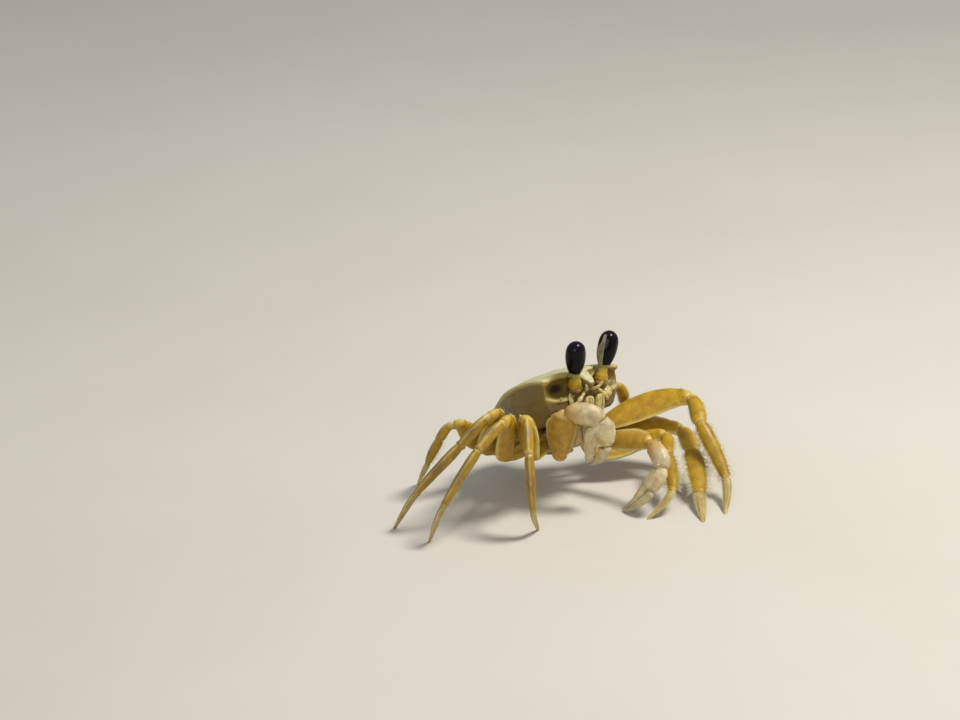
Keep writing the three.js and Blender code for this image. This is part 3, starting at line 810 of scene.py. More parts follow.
def press_plate(plate, segment):
    piece = plate.piece
    co = points(piece)
    along, deep, flat = plate.shares(co)
    half_flat = plate.size(along)[3]
    thinned = THINNING[segment] * unit(np.abs(deep)) ** 3
    co = co - plate.flat * (flat * half_flat * thinned)[:, None]
    swell = 0.04 * bump_at(along, 0.97, 0.03) - 0.05 * bump_at(along, 0.9, 0.03)
    swell += 0.03 * bump_at(along, 0.02, 0.02) - 0.04 * bump_at(along, 0.07, 0.025)
    middle = plate.start + along[:, None] * plate.axis
    mid_deep, _, mid_flat, _ = plate.size(along)
    middle = middle + np.outer(mid_deep, plate.deep) + np.outer(mid_flat, plate.flat)
    if segment != "dactyl":
        co = co + (co - middle) * swell[:, None]
    reach = 0.12 * MM / plate.length * (unit((along - 0.8) / 0.2) - unit((0.2 - along) / 0.2))
    co = co + np.outer(reach, plate.axis)
    rough = uneven(co, 2.2 * MM)
    push = 0.05 * rough
    if segment == "merus":
        rows = np.sin(2 * math.pi * (along * plate.length / (0.95 * MM) + 0.9 * rough + 0.35 * deep))
        push += 0.035 * unit(rows) ** 2 * bump_at(along, 0.5, 0.36)
    if segment in ("propodus", "carpus"):
        push += 0.03 * np.cos(3 * math.pi * np.clip(flat, -1, 1)) * bump_at(along, 0.5, 0.34)
    if segment == "dactyl":
        push += 0.06 * np.cos(6 * np.arctan2(flat, deep)) * bump_at(along, 0.45, 0.3)
    move_points(piece, co)
    push_out(piece, push)
    mark(piece, "along", unit(along))
    mark(piece, "keel", np.clip(deep, -1, 1))
    mark(piece, "side", np.clip(flat, -1, 1))
    stripe = unit(1.5 - np.abs(flat) / 0.6) * unit(deep * 2 + 0.3) * bump_at(along, 0.5, 0.34)
    right_side = plate.start[0] < body_origin.x
    mark(piece, "stripe", stripe * right_side * (segment in ("carpus", "propodus")))


def carry_marks(grains, plate):
    """Grains take the marks of the plate they stand on."""
    along, deep, flat = plate.shares(points(grains))
    mark(grains, "along", unit(along))
    mark(grains, "keel", np.clip(deep * 1.2, -1, 1))
    mark(grains, "side", np.clip(flat, -1, 1))


def keel_grains(plate, name, angle, radius, start=0.1, end=0.93):
    """A row of grains along one keel of a plate."""
    spots = [plate.spot(part, angle) for part in np.linspace(start, end, 40)]
    grains = beads_along(name, [spot for spot, _ in spots], [way for _, way in spots], radius * MM)
    carry_marks(grains, plate)
    return grains


KEELS = {  # degrees round from the upper keel, and the size of the grains there
    "merus": {0: 0.17, 180: 0.13, 24: 0.09, -24: 0.09},
    "carpus": {0: 0.07, 180: 0.07},
    "propodus": {0: 0.07, 180: 0.07},
}
LAST_LEG_GRAINS = 0.8

plates = {}
for leg in LEGS:
    for hand in "lr":
        ends = leg_ends(leg, hand)
        for segment, start, end in zip(SEGMENTS, ends, ends[1:]):
            node = f"{leg}_{segment}_{hand}"
            piece = rounded(node, f"{node}_plate", LEVELS[segment])
            press_plate(Plate(piece, start, end), segment)
            plate = plates[node] = Plate(piece, start, end)
            small = LAST_LEG_GRAINS if (leg, segment) == ("leg5", "merus") else 1
            rows = [
                keel_grains(plate, f"{node}_grains_{turn}", math.radians(turn), radius * small)
                for turn, radius in KEELS.get(segment, {}).items()
            ]
            if segment == "merus":
                spot, way = plate.spot(0.965, 0)
                root, lean = spot - way * 0.15 * MM, way + 1.4 * plate.axis / plate.length
                rows.append(lone_tooth(f"{node}_point", root, lean, 0.42 * small, 0.7 * small))
                carry_marks(rows[-1], plate)
            if rows:
                join(piece, *rows)
print("leg plates:", len(plates))

# %% [markdown]
# Between two plates the joint is closed by soft skin in a few folds, tucked inside both rims. A
# stretched sphere does for the sleeve, because only the strip between the rims ever shows.

# %% Close the joints with skin
def joint_skin(name, before, after, place, share=0.88):
    """A short folded sleeve between two plates."""
    way = before.axis / before.length + after.axis / after.length
    across = [min(before.size(0.97)[k], after.size(0.03)[k]) * share / MM for k in (1, 3)]
    sleeve = lump(name, Vector(place), way, max(0.35, sum(across) / 2), 0.85, rings=14)
    rest = (points(sleeve) - place) @ (way / np.linalg.norm(way))
    push_out(sleeve, 0.05 * np.cos(rest / MM * 14))
    return sleeve


skins = {}
for leg in LEGS:
    for hand in "lr":
        names = [f"{leg}_{segment}_{hand}" for segment in SEGMENTS]
        parts = []
        for number, (first, second) in enumerate(zip(names, names[1:])):
            place = plates[second].start
            parts.append(joint_skin(f"{leg}_{hand}_joint_{number}", plates[first], plates[second], place))
        root = plates[names[0]]
        parts.append(lump(f"{leg}_{hand}_root", Vector(root.start), root.axis, 1.5, 1.3))
        skin = join(parts[0], *parts[1:])
        skin.name = f"{leg}_joint_skin_{hand}"
        skins[skin.name] = skin
print("joint skins:", len(skins))

# %% [markdown]
# ## The claws
# A claw is an arm, a wrist and a palm with a fixed and a moving finger. The arm is flattened and both
# its edges are toothed like saws. The wrist has a spine on its inner side. The palm is swollen and its
# skin is scattered with grains, and small teeth line the edges where the fingers meet.

# %% Saw-edge the arm, and roughen the wrist and palm
def scattered_grains(name, piece, count, radius, keep):
    """Grains over a piece, on the points that `keep` marks as fit for them."""
    picked = chance.choice(len(keep), count, replace=False, p=keep / keep.sum())
    spots, ways = points(piece)[picked], point_normals(piece)[picked]
    sizes = radius * (0.6 + 0.6 * chance.random(count)) * MM
    return copies(name, BEAD, [(s, w, r, r * 0.8, NO_BEND) for s, w, r in zip(spots, ways, sizes)])


def saw_edge(plate, name, angle, width, height, step):
    """Teeth set on a keel, each leaning towards the wrist."""
    places = []
    for part in np.arange(0.14, 0.96, step * MM / plate.length):
        spot, way = plate.spot(part, angle)
        lean = way + 0.45 * plate.axis / plate.length
        high = height * (0.8 + 0.4 * chance.random())
        places.append((spot - way * 0.05 * MM, lean, width * MM, high * MM, NO_BEND))
    teeth = copies(name, TOOTH, places)
    carry_marks(teeth, plate)
    return teeth


claws, claw_joints = {}, {}
for hand, side in SIDES:
    arm_node, wrist_node, palm_node = (f"claw_{part}_{side}" for part in ("arm", "wrist", "palm"))
    elbow, wrist_joint = joint_middle(arm_node, wrist_node), joint_middle(wrist_node, palm_node)
    arm = rounded(arm_node, f"{arm_node}_plate", levels=4)
    arm_plate = Plate(arm, farthest(arm_node, elbow), elbow)
    press_plate(arm_plate, "merus")
    arm_plate = Plate(arm, arm_plate.start, elbow)
    upper = saw_edge(arm_plate, f"{arm_node}_upper_teeth", 0, 0.2, 0.42, 0.42)
    lower = saw_edge(arm_plate, f"{arm_node}_lower_teeth", math.pi, 0.17, 0.34, 0.42)
    inner = keel_grains(arm_plate, f"{arm_node}_inner", math.radians(35), 0.12)
    outer = keel_grains(arm_plate, f"{arm_node}_outer", math.radians(-35), 0.12)
    join(arm, upper, lower, inner, outer)

    wrist = rounded(wrist_node, f"{wrist_node}_plate", levels=4)
    lowest = points(wrist)[points(wrist)[:, 2].argmin()]
    move_points(wrist, lowest + (points(wrist) - lowest) * 0.9)
    push_out(wrist, 0.1 * uneven(points(wrist), 1.6 * MM))
    inward = body_turn @ Vector((-hand, -0.2, 0.1))
    facing = point_normals(wrist) @ np.array(inward)
    spine_root = points(wrist)[facing.argmax()]
    spine = lone_tooth(f"{wrist_node}_spine", spine_root - np.array(inward) * 0.2 * MM, inward, 0.42, 1.2)
    upward_side = np.clip(point_normals(wrist)[:, 2] + 0.5, 0.02, 1)
    join(wrist, scattered_grains(f"{wrist_node}_grains", wrist, 170, 0.1, upward_side), spine)
    from_elbow = np.linalg.norm(points(wrist) - elbow, axis=1) / np.linalg.norm(wrist_joint - elbow)
    mark(wrist, "elbow", unit(1 - from_elbow))
    claws[arm_node], claws[wrist_node] = arm, wrist
    claw_joints[side] = (arm_plate, elbow, wrist_joint)
print("arm and wrist faces:", len(arm.data.polygons), len(wrist.data.polygons))


# %% Round the palms and fingers, and set their teeth
def biting_edge(name, piece, other, start, end, count, width, height):
    """Teeth along the side of a finger that faces the other finger."""
    co, way = points(piece), point_normals(piece)
    surface = surface_of(other)
    axis = np.array(end) - np.array(start)
    along = (co - start) @ axis / (axis @ axis)
    gap = np.array([surface.find_nearest(Vector(spot))[3] for spot in co])
    places = []
    for part in np.linspace(0.12, 0.94, count):
        near = np.flatnonzero(np.abs(along - part) < 0.02)
        if len(near):
            best = near[gap[near].argmin()]
            size = (0.75 + 0.5 * chance.random()) * (1 - 0.4 * part)
            root = co[best] - way[best] * 0.06 * MM
            places.append((root, way[best], width * size * MM, height * size * MM, NO_BEND))
    return copies(name, TOOTH, places)


for side in "lr":
    palm_node, finger_node = f"claw_palm_{side}", f"claw_finger_{side}"
    wrist_joint = claw_joints[side][2]
    palm = remeshed(palm_node, f"{palm_node}_plate", grain=0.1, passes=14)
    finger = remeshed(finger_node, f"{finger_node}_plate", grain=0.08, passes=14)
    tip = farthest(finger_node, wrist_joint)
    from_tip = np.linalg.norm(points(finger) - tip, axis=1)
    base = points(finger)[from_tip > 0.84 * from_tip.max()]
    knuckle = base.mean(0)
    knuckle_size = np.linalg.norm(base - knuckle, axis=1).mean() / MM
    for piece in (palm, finger):
        co = points(piece)
        push_out(piece, 0.1 * uneven(co, 2.0 * MM) + 0.02 * uneven(co, 0.6 * MM))
    reach = np.linalg.norm(tip - wrist_joint)
    teeth = [
        biting_edge(f"{palm_node}_teeth", palm, finger, knuckle, tip, 15, 0.2, 0.3),
        biting_edge(f"{finger_node}_teeth", finger, palm, knuckle, tip, 15, 0.18, 0.27),
    ]
    palm_half = unit(1.05 - np.linalg.norm(points(palm) - wrist_joint, axis=1) / (0.62 * reach))
    finger_half = unit(1 - np.linalg.norm(points(finger) - knuckle, axis=1) / (0.6 * reach))
    across, along = knuckle_size, 1.15 * knuckle_size
    swelling = lump(f"knuckle_{side}", Vector(knuckle), tip - knuckle, across, along, rings=16)
    join(palm, teeth[0], scattered_grains(f"{palm_node}_grains", palm, 420, 0.09, palm_half), swelling)
    join(finger, teeth[1], scattered_grains(f"{finger_node}_grains", finger, 90, 0.07, finger_half))
    for piece in (palm, finger):
        to_tip = np.linalg.norm(points(piece) - wrist_joint, axis=1) / reach
        mark(piece, "along", unit(to_tip))
    claws[palm_node], claws[finger_node] = palm, finger
    claw_joints[side] += (knuckle, tip)
print("palm and finger faces:", len(palm.data.polygons), len(finger.data.polygons))

# %% Close the claw's joints
WRIST_SIZE = {"l": 1.2, "r": 1.7}
for hand, side in SIDES:
    arm_plate, elbow, wrist_joint, knuckle, tip = claw_joints[side]
    forearm = wrist_joint - elbow
    hand_way = knuckle - wrist_joint
    parts = [
        lump(f"claw_joint_skin_{side}", Vector(arm_plate.start), arm_plate.axis, 1.9, 1.5),
        lump(f"elbow_{side}", Vector(elbow), arm_plate.axis + forearm, 1.35, 1.2),
    ]
    size = WRIST_SIZE[side]
    swelling = lump(f"wrist_{side}", Vector(wrist_joint), forearm + hand_way, size, size, rings=16)
    join(claws[f"claw_wrist_{side}"], swelling)
    skin = join(parts[0], *parts[1:])
    skins[skin.name] = skin
print("claw pieces:", sorted(claws))

# %% [markdown]
# ## The bristles
# Rows of pale bristles fringe the lower leg plates and lean towards the toe. The first three left legs
# have closer rows, with the longest bristles on the third of them, and the right legs have only a few.
# Each bristle is a slim bent spike standing on its plate. The skin of a plate is unrolled as length by
# way round, and each bristle keeps a small patch at its root's place on that unrolled skin.

# %% Plant the bristles in rows
PROPODUS_TURNS = (0, 22, 156, 172, 188, 204, 338)
ROWS = {
    "carpus": {"turns": (0, 24, 336, 180), "length": 0.8, "step": 0.5, "from": 0.3, "to": 0.98},
    "propodus": {"turns": PROPODUS_TURNS, "length": 1.6, "step": 0.62, "from": 0.05, "to": 0.99},
    "dactyl": {"turns": (0, 30, 150, 180, 210, 330), "length": 0.6, "step": 0.45, "from": 0.02, "to": 0.8},
}
DENSE = {"leg2_l": 1.0, "leg3_l": 1.1, "leg4_l": 1.35}  # legs with closer rows, and their bristles' length
SPARSE = {  # the turns, length and step of the right legs' rows
    "carpus": ((180,), 0.7, 0.9),
    "propodus": ((166, 180, 194), 1.7, 0.8),
    "dactyl": ((180,), 0.6, 0.7),
}
THICKNESS = 0.09
PATCH = 0.003


def unrolled_patch(piece, shape, roots):
    """Give each bristle a small patch at its root's place on the unrolled skin."""
    layer = piece.data.uv_layers.new(name="OFBake")
    corners = np.empty(len(piece.data.loops), int)
    piece.data.loops.foreach_get("vertex_index", corners)
    number, corner = np.divmod(corners, len(shape))
    patch = np.array(roots)[number] + shape[corner, :2] * PATCH / 2
    layer.data.foreach_set("uv", patch.astype(np.float32).ravel())


def bristle_places(plate, segment, row):
    places, roots = [], []
    cell = list(ROWS).index(segment) / 3
    for turn in row["turns"]:
        for part in np.arange(row["from"], row["to"], row["step"] * MM / plate.length):
            part = part + chance.normal(0, 0.006)
            angle = math.radians(turn + chance.normal(0, 5))
            spot, way = plate.spot(unit(part), angle)
            toe_way = plate.axis / plate.length
            lean = way + toe_way * (0.3 + 0.3 * chance.random()) + chance.normal(0, 0.08, 3)
            long = row["length"] * (0.7 + 0.5 * chance.random()) * MM
            if segment == "dactyl":
                long *= 1 - 0.6 * part
            places.append((spot - way * 0.05 * MM, lean, THICKNESS * MM, long, toe_way * long * 0.25))
            roots.append((0.02 + 0.96 * unit(part), cell + 0.01 + 0.31 * (angle / (2 * math.pi) % 1)))
    return places, roots


bristles = {}
for leg in LEGS:
    for hand in "lr":
        places, roots = [], []
        for segment, row in ROWS.items():
            row = dict(row)
            if f"{leg}_{hand}" in DENSE and segment != "dactyl":
                row["length"] *= DENSE[f"{leg}_{hand}"]
                row["step"] *= 0.8
            if hand == "r":
                row["turns"], row["length"], row["step"] = SPARSE[segment]
            plate = plates[f"{leg}_{segment}_{hand}"]
            some_places, some_roots = bristle_places(plate, segment, row)
            places += some_places
            roots += some_roots
        piece = copies(f"{leg}_bristles_{hand}", BRISTLE, places)
        unrolled_patch(piece, BRISTLE[0], roots)
        mark(piece, "tip", np.tile(BRISTLE[0][:, 2], len(places)))
        bristles[piece.name] = piece
print("bristle faces:", sum(len(piece.data.polygons) for piece in bristles.values()))

# %% [markdown]
# ## Colours and finishes
# A living ghost crab is straw coloured, with an olive back, yellow leg plates, cream claws and black
# eyes. Each plate's colour is built from the marks left on its points, such as its keels and its ends,
# over patterns of patches, freckles and grain. The patterns are shared, so each is a small group with
# its own scale, and it is placed in every finish that needs it.

# %% Helpers for building a finish
def put(tree, kind, inputs=None, **settings):
    """A new node with its settings, and with its inputs set or joined."""
    node = tree.nodes.new(kind)
    for name, value in settings.items():
        setattr(node, name, value)
    for name, value in (inputs or {}).items():
        socket = node.inputs[name]
        if isinstance(value, bpy.types.NodeSocket):
            tree.links.new(value, socket)
        else:
            socket.default_value = value
    return node


def shade(red, green, blue):
    """A colour given as it looks on a screen, 0 to 255, as the shader's own light values."""
    screen = [value / 255 for value in (red, green, blue)]
    return (*(v / 12.92 if v <= 0.0393 else ((v + 0.055) / 1.055) ** 2.4 for v in screen), 1)


def between(tree, share, low, high, blend="MIX"):
    node = put(tree, "ShaderNodeMix", {0: share, 6: low, 7: high}, data_type="RGBA", blend_type=blend)
    return node.outputs[2]


def fit(tree, value, start, end, low=0.0, high=1.0):
    inputs = {"Value": value, "From Min": start, "From Max": end, "To Min": low, "To Max": high}
    return put(tree, "ShaderNodeMapRange", inputs, interpolation_type="SMOOTHSTEP").outputs[0]


def times(tree, one, two, operation="MULTIPLY"):
    return put(tree, "ShaderNodeMath", {0: one, 1: two}, operation=operation).outputs[0]


def size_of(tree, value):
    return put(tree, "ShaderNodeMath", {0: value}, operation="ABSOLUTE").outputs[0]


def marked(tree, name):
    return put(tree, "ShaderNodeAttribute", attribute_name=name).outputs["Fac"]


def fit_mark(tree, name, *limits):
    return fit(tree, marked(tree, name), *limits)


def place_of(tree):
    return put(tree, "ShaderNodeTexCoord").outputs["Object"]


# %% Shared patterns: patches, freckles and grain
def new_group(name, inputs):
    group = bpy.data.node_groups.new(name, "ShaderNodeTree")
    for key, value in inputs.items():
        group.interface.new_socket(key, in_out="INPUT", socket_type="NodeSocketFloat").default_value = value
    group.interface.new_socket("Mask", in_out="OUTPUT", socket_type="NodeSocketFloat")
    return group, group.nodes.new("NodeGroupInput").outputs, group.nodes.new("NodeGroupOutput").inputs


def make_patches():
    group, given, out = new_group("patches", {"Scale": 300.0, "Middle": 0.5, "Softness": 0.12})
    inputs = {"Vector": place_of(group), "Scale": given["Scale"]}
    inputs |= {"Detail": 5.0, "Roughness": 0.6, "Distortion": 0.4}
    cloud = put(group, "ShaderNodeTexNoise", inputs).outputs["Fac"]
    low = times(group, given["Middle"], given["Softness"], "SUBTRACT")
    high = times(group, given["Middle"], given["Softness"], "ADD")
    group.links.new(fit(group, cloud, low, high), out["Mask"])
    return group


def make_freckles():
    group, given, out = new_group("freckles", {"Scale": 1500.0, "Size": 0.3})
    inputs = {"Vector": place_of(group), "Scale": given["Scale"], "Randomness": 1.0}
    cell = put(group, "ShaderNodeTexVoronoi", inputs).outputs["Distance"]
    inner = times(group, given["Size"], 0.5)
    group.links.new(fit(group, cell, given["Size"], inner), out["Mask"])
    return group


def make_grain():
    group, given, out = new_group("grain", {"Scale": 3000.0, "Depth": 1.0})
    spots = place_of(group)
    inputs = {"Vector": spots, "Scale": given["Scale"]}
    cell = put(group, "ShaderNodeTexVoronoi", inputs, feature="SMOOTH_F1").outputs["Distance"]
    wide = times(group, given["Scale"], 0.35)
    cloud = put(group, "ShaderNodeTexNoise", {"Vector": spots, "Scale": wide, "Detail": 4.0}).outputs["Fac"]
    mound = times(group, cell, -0.7)
    group.links.new(times(group, times(group, mound, cloud, "ADD"), given["Depth"]), out["Mask"])
    return group


PATTERNS = {"patches": make_patches(), "freckles": make_freckles(), "grain": make_grain()}


def pattern(tree, name, **inputs):
    node = put(tree, "ShaderNodeGroup", node_tree=PATTERNS[name])
    for key, value in inputs.items():
        node.inputs[key].default_value = value
    return node.outputs["Mask"]


print("shared patterns:", list(PATTERNS))


# %% A finish and its wiring
def new_finish(name, **constants):
    finish = bpy.data.materials.new(name)
    finish.use_nodes = True
    shader = finish.node_tree.nodes["Principled BSDF"]
    for key, value in constants.items():
        shader.inputs[key.replace("_", " ")].default_value = value
    return finish, finish.node_tree, shader


def patchy(tree, scale, one, two, **inputs):
    """Two colours in soft patches."""
    return between(tree, pattern(tree, "patches", Scale=scale, **inputs), shade(*one), shade(*two))


def over(tree, colour, share, tone):
    """A tone laid over a colour, as strongly as its share says."""
    return between(tree, share, colour, shade(*tone))


def blotched(tree, colour, share, tone, **inputs):
    return over(tree, colour, times(tree, pattern(tree, "patches", **inputs), share), tone)


def freckled(tree, colour, share, tone, **inputs):
    return over(tree, colour, times(tree, pattern(tree, "freckles", **inputs), share), tone)


def uneven_gloss(tree, low, high, scale=900):
    return fit(tree, pattern(tree, "patches", Scale=scale), 0.0, 1.0, low, high)


def wire(tree, shader, colour, roughness, grain, strength=0.5, depth=0.06):
    """Join a colour, a roughness and a bump of grain to the shader."""
    tree.links.new(colour, shader.inputs["Base Color"])
    tree.links.new(roughness, shader.inputs["Roughness"])
    height = pattern(tree, "grain", **grain) if isinstance(grain, dict) else grain
    bump = put(tree, "ShaderNodeBump", {"Height": height, "Strength": strength, "Distance": depth * MM})
    tree.links.new(bump.outputs["Normal"], shader.inputs["Normal"])


def dress(piece, finish):
    piece.data.materials.clear()
    piece.data.materials.append(finish)
    alone(piece)
    bpy.ops.object.shade_smooth()


HARD = {
    "Specular_IOR_Level": 0.36,
    "Subsurface_Weight": 0.08,
    "Subsurface_Radius": (1.0, 0.75, 0.4),
    "Subsurface_Scale": 0.8 * MM,
}

# %% [markdown]
# ### The shell
# The back is a greyish straw with faint patches and freckles. Towards the tail it darkens to olive brown
# with painted shade, and down the sides its olive brown is darkened further with painted shade. The
# side ridges and the socket rims are pale yellow. Painted shade darkens the face to brown below the
# sockets. The sockets are olive brown, and painted shade makes them nearly black at their deepest.

# %% Finish for the shell
def shell_finish():
    finish, tree, shader = new_finish("shell_straw", **HARD)
    # The sides: their own olive brown, darkened further with painted shade.
    side = patchy(tree, 260, (116, 98, 54), (134, 116, 66), Softness=0.3)
    side = between(tree, fit_mark(tree, "height", 0.0, 0.45), shade(138, 116, 66), side)
    front = patchy(tree, 260, (206, 202, 156), (190, 184, 134), Softness=0.3)
    # Painted shade: the back darkens towards the tail.
    rear = patchy(tree, 300, (150, 136, 86), (166, 152, 98), Softness=0.3)
    back = between(tree, fit_mark(tree, "tailward", 0.35, 1.0), front, rear)
    colour = between(tree, fit_mark(tree, "back", 0.15, 0.75), side, back)
    colour = blotched(tree, colour, 0.22, (112, 94, 48), Scale=900, Middle=0.58, Softness=0.08)
    colour = freckled(tree, colour, 0.28, (100, 80, 40), Scale=1600, Size=0.26)
    colour = over(tree, colour, times(tree, marked(tree, "ridge"), 0.8), (220, 204, 140))
    colour = over(tree, colour, times(tree, marked(tree, "rim"), 0.75), (204, 174, 86))
    # Painted shade darkens the face below the socket rims.
    colour = over(tree, colour, times(tree, marked(tree, "painted_shade_below_rim"), 0.9), (104, 78, 38))
    pit = marked(tree, "pit")
    colour = over(tree, colour, fit(tree, pit, 0.02, 0.3), (128, 102, 40))
    # Painted shade makes the deepest part of each socket nearly black.
    colour = over(tree, colour, fit(tree, pit, 0.5, 1.0), (48, 34, 14))
    wire(tree, shader, colour, uneven_gloss(tree, 0.36, 0.56), {"Scale": 3600}, 0.55, 0.07)
    return finish


dress(shell, shell_finish())
print("shell's finish:", shell.data.materials[0].name)


# %% Finish for the chest, the tail and their furrows
def underside_finish():
    finish, tree, shader = new_finish("underside_tan", **HARD)
    colour = patchy(tree, 350, (196, 168, 112), (168, 136, 80))
    # Painted shade darkens the furrows.
    colour = over(tree, colour, fit_mark(tree, "groove", 0.2, 0.9), (112, 82, 44))
    colour = freckled(tree, colour, 0.3, (120, 88, 44), Scale=1500, Size=0.22)
    wire(tree, shader, colour, uneven_gloss(tree, 0.42, 0.6, scale=800), {"Scale": 2800}, 0.4)
    return finish


belly = underside_finish()
for piece in (chest, tail):
    dress(piece, belly)
print("underside's finish:", belly.name)

# %% [markdown]
# ### The eyes
# The cornea is near black with a wet gloss, and a cool purple cast is painted towards its tip as sheen.
# The bare band up its inner side is dull grey olive. The stalk is yellow and brown, and greener at its
# upper end.

# %% Finishes for the eyes
def cornea_finish():
    finish, tree, shader = new_finish("cornea_black", Specular_IOR_Level=0.14)
    # A painted sheen: a cool purple cast towards the tip of the cornea.
    dark = over(tree, shade(8, 7, 6), fit_mark(tree, "height", 0.5, 1.0), (24, 15, 23))
    grey = patchy(tree, 900, (150, 142, 118), (118, 108, 84))
    skin = between(tree, fit_mark(tree, "height", 0.0, 0.22), shade(156, 146, 92), grey)
    bare = fit_mark(tree, "band", 0.35, 0.75)
    colour = between(tree, bare, dark, skin)
    facets = times(tree, pattern(tree, "grain", Scale=9000), 0.2)
    wire(tree, shader, colour, fit(tree, bare, 0.0, 1.0, 0.14, 0.55), facets, 0.2, 0.02)
    return finish


def stalk_finish():
    finish, tree, shader = new_finish("eyestalk_yellow", **HARD)
    low = patchy(tree, 600, (182, 148, 28), (150, 118, 22), Softness=0.25)
    high = patchy(tree, 700, (172, 152, 62), (142, 122, 48))
    colour = between(tree, fit_mark(tree, "height", 0.6, 1.0), low, high)
    colour = freckled(tree, colour, 0.3, (86, 58, 16), Scale=1800, Size=0.28)
    wire(tree, shader, colour, uneven_gloss(tree, 0.3, 0.5), {"Scale": 4200}, depth=0.05)
    return finish


def skin_finish(name, pale, dark):
    finish, tree, shader = new_finish(name, **HARD)
    colour = patchy(tree, 700, pale, dark)
    colour = freckled(tree, colour, 0.35, (92, 68, 34), Scale=2200, Size=0.25)
    wire(tree, shader, colour, uneven_gloss(tree, 0.4, 0.62, scale=1200), {"Scale": 4500})
    return finish


black, yellow = cornea_finish(), stalk_finish()
socket_skin = skin_finish("socket_skin", (142, 112, 48), (92, 68, 28))
for side in "lr":
    dress(corneas[side], black)
    dress(stalks[side], yellow)
    dress(eye_skins[side], socket_skin)
print("eyes' finishes:", [finish.name for finish in (black, yellow, socket_skin)])


# %% Finish for the mouth and the parts round it
def mouth_finish():
    finish, tree, shader = new_finish("mouth_cream", **HARD)
    colour = patchy(tree, 380, (206, 190, 124), (182, 160, 92))
    # Painted shade darkens the furrows.
    colour = over(tree, colour, fit_mark(tree, "groove", 0.25, 0.9), (128, 98, 48))
    colour = freckled(tree, colour, 0.35, (128, 96, 50), Scale=1600, Size=0.22)
    wire(tree, shader, colour, uneven_gloss(tree, 0.36, 0.55), {"Scale": 3600}, 0.45)
    return finish


cream = mouth_finish()
for piece in (*mouths.values(), *feelers.values(), *face_parts):
    dress(piece, cream)
print("mouth's finish:", cream.name)

# %% [markdown]
# ### The legs
# The leg plates are golden yellow, a little browner below the knee, with pale grained keels. On the
# right legs a soft purplish brown stripe runs along the upper face of the lower plates. Each plate pales
# a little at its joints. The claws' arms share this finish, in a duller gold.

# %% Finishes for the legs and the claws' arms
TONES = ("main", "second", "stain", "keel", "end")
LEG_TONES = {
    "leg_hip_tan": ((184, 146, 44), (156, 118, 32), (112, 80, 30), (218, 198, 122), (206, 180, 100)),
    "leg_upper_gold": ((190, 150, 22), (164, 124, 16), (124, 88, 26), (226, 208, 128), (214, 190, 104)),
    "leg_knee_gold": ((190, 152, 26), (164, 126, 20), (116, 84, 34), (222, 202, 124), (226, 208, 142)),
    "leg_lower_tan": ((178, 141, 22), (150, 115, 16), (104, 76, 34), (212, 190, 110), (220, 200, 132)),
    "toe_pale": ((186, 166, 104), (158, 134, 74), (116, 90, 48), (200, 184, 128), (180, 160, 100)),
    "claw_arm_gold": ((192, 154, 58), (166, 128, 42), (122, 84, 34), (222, 206, 138), (214, 190, 122)),
}


def leg_finish(name):
    tone = dict(zip(TONES, LEG_TONES[name]))
    finish, tree, shader = new_finish(name, **HARD)
    colour = patchy(tree, 300, tone["main"], tone["second"], Softness=0.2)
    colour = blotched(tree, colour, 0.3, tone["stain"], Scale=520, Middle=0.57, Softness=0.1)
    colour = freckled(tree, colour, 0.25, tone["stain"], Scale=1500, Size=0.24)
    edge = size_of(tree, marked(tree, "keel"))
    colour = over(tree, colour, fit(tree, edge, 0.8, 1.0, 0.0, 0.75), tone["keel"])
    breaks = pattern(tree, "patches", Scale=420, Middle=0.36, Softness=0.2)
    stripe = times(tree, marked(tree, "stripe"), breaks)
    colour = over(tree, colour, times(tree, stripe, 0.8), (112, 84, 66))
    middle = size_of(tree, times(tree, marked(tree, "along"), 0.5, "SUBTRACT"))
    colour = over(tree, colour, fit(tree, middle, 0.44, 0.5, 0.0, 0.45), tone["end"])
    wire(tree, shader, colour, uneven_gloss(tree, 0.34, 0.54), {"Scale": 3400})
    return finish


finishes = {part: leg_finish(name) for part, name in zip((*SEGMENTS, "arm"), LEG_TONES)}
for node, plate in plates.items():
    dress(plate.piece, finishes[node.split("_")[1]])
joint_soft = skin_finish("joint_skin_straw", (192, 158, 70), (160, 122, 46))
for skin in skins.values():
    dress(skin, joint_soft)
print("legs' finishes:", [finish.name for finish in finishes.values()])


# %% Finish for the bristles
def bristle_finish():
    finish, tree, shader = new_finish("bristle_straw")
    colour = over(tree, shade(222, 208, 156), marked(tree, "tip"), (244, 238, 212))
    colour = blotched(tree, colour, 0.2, (196, 176, 120), Scale=500)
    gloss = fit_mark(tree, "tip", 0.0, 1.0, 0.45, 0.6)
    wire(tree, shader, colour, gloss, {"Scale": 9000}, 0.2, 0.02)
    return finish


straw = bristle_finish()
for piece in bristles.values():
    dress(piece, straw)
print("bristles' finish:", straw.name)

# %% [markdown]
# The claws are cream, with mauve and gold patches, gold towards the elbow and greyer towards the tips
# of the fingers.

# %% Finish for the claws
def claw_finish():
    finish, tree, shader = new_finish("claw_cream", **HARD)
    colour = patchy(tree, 240, (216, 202, 154), (194, 172, 128), Softness=0.2)
    colour = blotched(tree, colour, 0.6, (166, 142, 116), Scale=330, Middle=0.55, Softness=0.1)
    colour = blotched(tree, colour, 0.7, (178, 138, 60), Scale=210, Middle=0.57, Softness=0.06)
    colour = freckled(tree, colour, 0.35, (138, 96, 52), Scale=1400, Size=0.2)
    colour = over(tree, colour, fit_mark(tree, "elbow", 0.25, 0.75, 0.0, 0.85), (190, 150, 72))
    colour = over(tree, colour, fit_mark(tree, "along", 0.55, 0.95, 0.0, 0.7), (166, 148, 120))
    wire(tree, shader, colour, uneven_gloss(tree, 0.34, 0.52), {"Scale": 3200})
    return finish


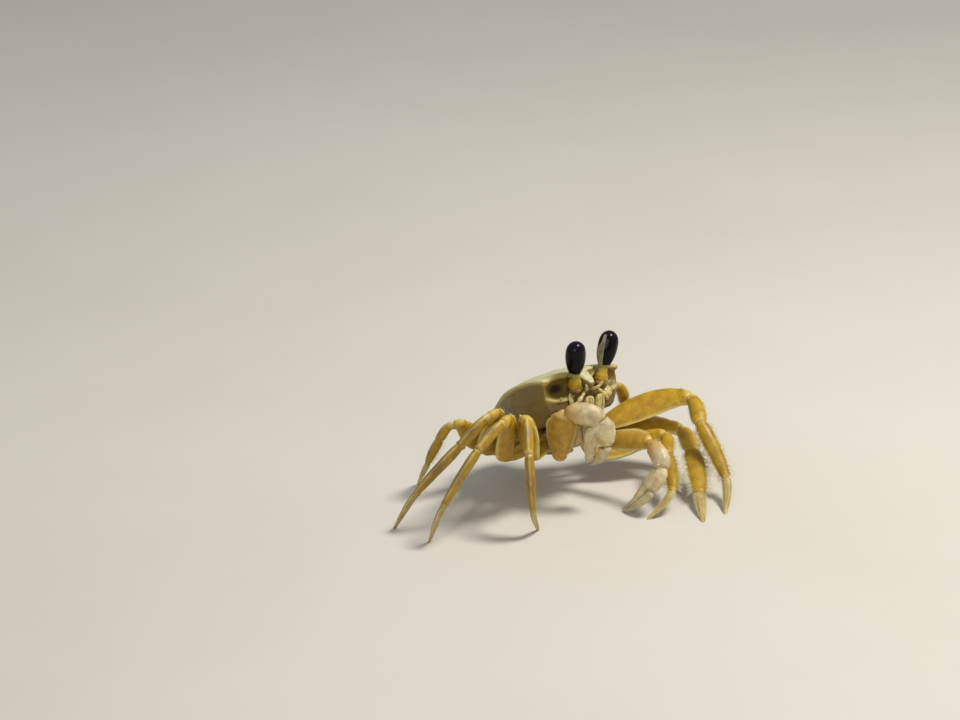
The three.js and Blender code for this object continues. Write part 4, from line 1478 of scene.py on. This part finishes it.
cream_claw = claw_finish()
for node, piece in claws.items():
    dress(piece, finishes["arm"] if "arm" in node else cream_claw)
print("finishes:", len(bpy.data.materials))

# %% [markdown]
# ## Floor, light and camera
# The crab stands on a plain pale floor under a wide soft light from above, with a weaker one from the
# front. The camera is a long lens a metre away, looking down on it a little, so that its right side
# and its face both show.

# %% Lay the floor
bpy.ops.object.select_all(action="DESELECT")
bpy.ops.mesh.primitive_plane_add(size=3, location=(0, 0, 0))
floor = bpy.context.object
floor.name = "studio_floor"
finish, tree, shader = new_finish("floor_pale")
tone = patchy(tree, 6, (208, 202, 190), (202, 196, 183), Softness=0.3)
wire(tree, shader, tone, uneven_gloss(tree, 0.8, 0.9, scale=40), {"Scale": 900}, 0.1, 0.1)
floor.data.materials.append(finish)
print("floor's finish:", finish.name)


# %% Light the scene
def soft_light(name, place, aim, size, power, colour):
    bpy.ops.object.light_add(type="AREA", location=place)
    light = bpy.context.object
    light.name = name
    light.rotation_euler = (Vector(place) - Vector(aim)).to_track_quat("Z", "Y").to_euler()
    light.data.shape = "DISK"
    light.data.size = size
    light.data.energy = power
    light.data.color = colour
    return light


crab_middle = from_body(0, 0, 0)
soft_light("key_light", (0.22, -0.24, 0.62), crab_middle, size=0.2, power=4.6, colour=(1.0, 0.98, 0.94))
soft_light("front_light", (-0.6, -0.5, 0.42), crab_middle, size=0.5, power=1.7, colour=(0.97, 0.98, 1.0))
world = bpy.data.worlds.new("studio_air")
bpy.context.scene.world = world
world.use_nodes = True
air = world.node_tree.nodes["Background"].inputs
air["Color"].default_value = (0.86, 0.9, 0.95, 1)
air["Strength"].default_value = 0.36

# %% Set the camera
AIM_LEFT, AIM_UP, AWAY = 0.0185, 0.03165, 1.0
LENS, SENSOR = 148.1, 36  # mm
camera_right = Vector((0.6947, -0.7193, 0))
towards_camera = Vector((-0.6669, -0.6441, 0.3746)).normalized()
camera_up = Vector((0.2694, 0.2602, 0.9272))
under_body = Vector((body_origin.x, body_origin.y, 0))
stand = under_body + towards_camera * AWAY
aim = under_body - camera_right * AIM_LEFT + camera_up * AIM_UP
bpy.ops.object.camera_add(location=stand)
camera = bpy.context.object
camera.rotation_euler = (stand - aim).to_track_quat("Z", "Y").to_euler()
camera.data.lens = LENS
camera.data.sensor_width = SENSOR
camera.data.clip_start = 0.05
bpy.context.scene.camera = camera
bpy.context.scene.view_settings.view_transform = "Standard"
print("camera at:", [round(v, 3) for v in camera.location])

# %% [markdown]
# ## Put every piece on the body
# It is a still model, so every piece rides on the one body. The pieces and their triangles are counted.

# %% Ride, measure and finish
meshes = [piece for piece in bpy.context.scene.objects if piece.type == "MESH"]
pieces = [piece for piece in meshes if piece.name not in nodes and piece is not floor]
for piece in pieces:
    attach(piece, "root")
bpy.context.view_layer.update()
tris = {piece.name: sum(len(face.vertices) - 2 for face in piece.data.polygons) for piece in pieces}
print("pieces:", len(pieces), "triangles:", sum(tris.values()), "most in one:", max(tris.values()))
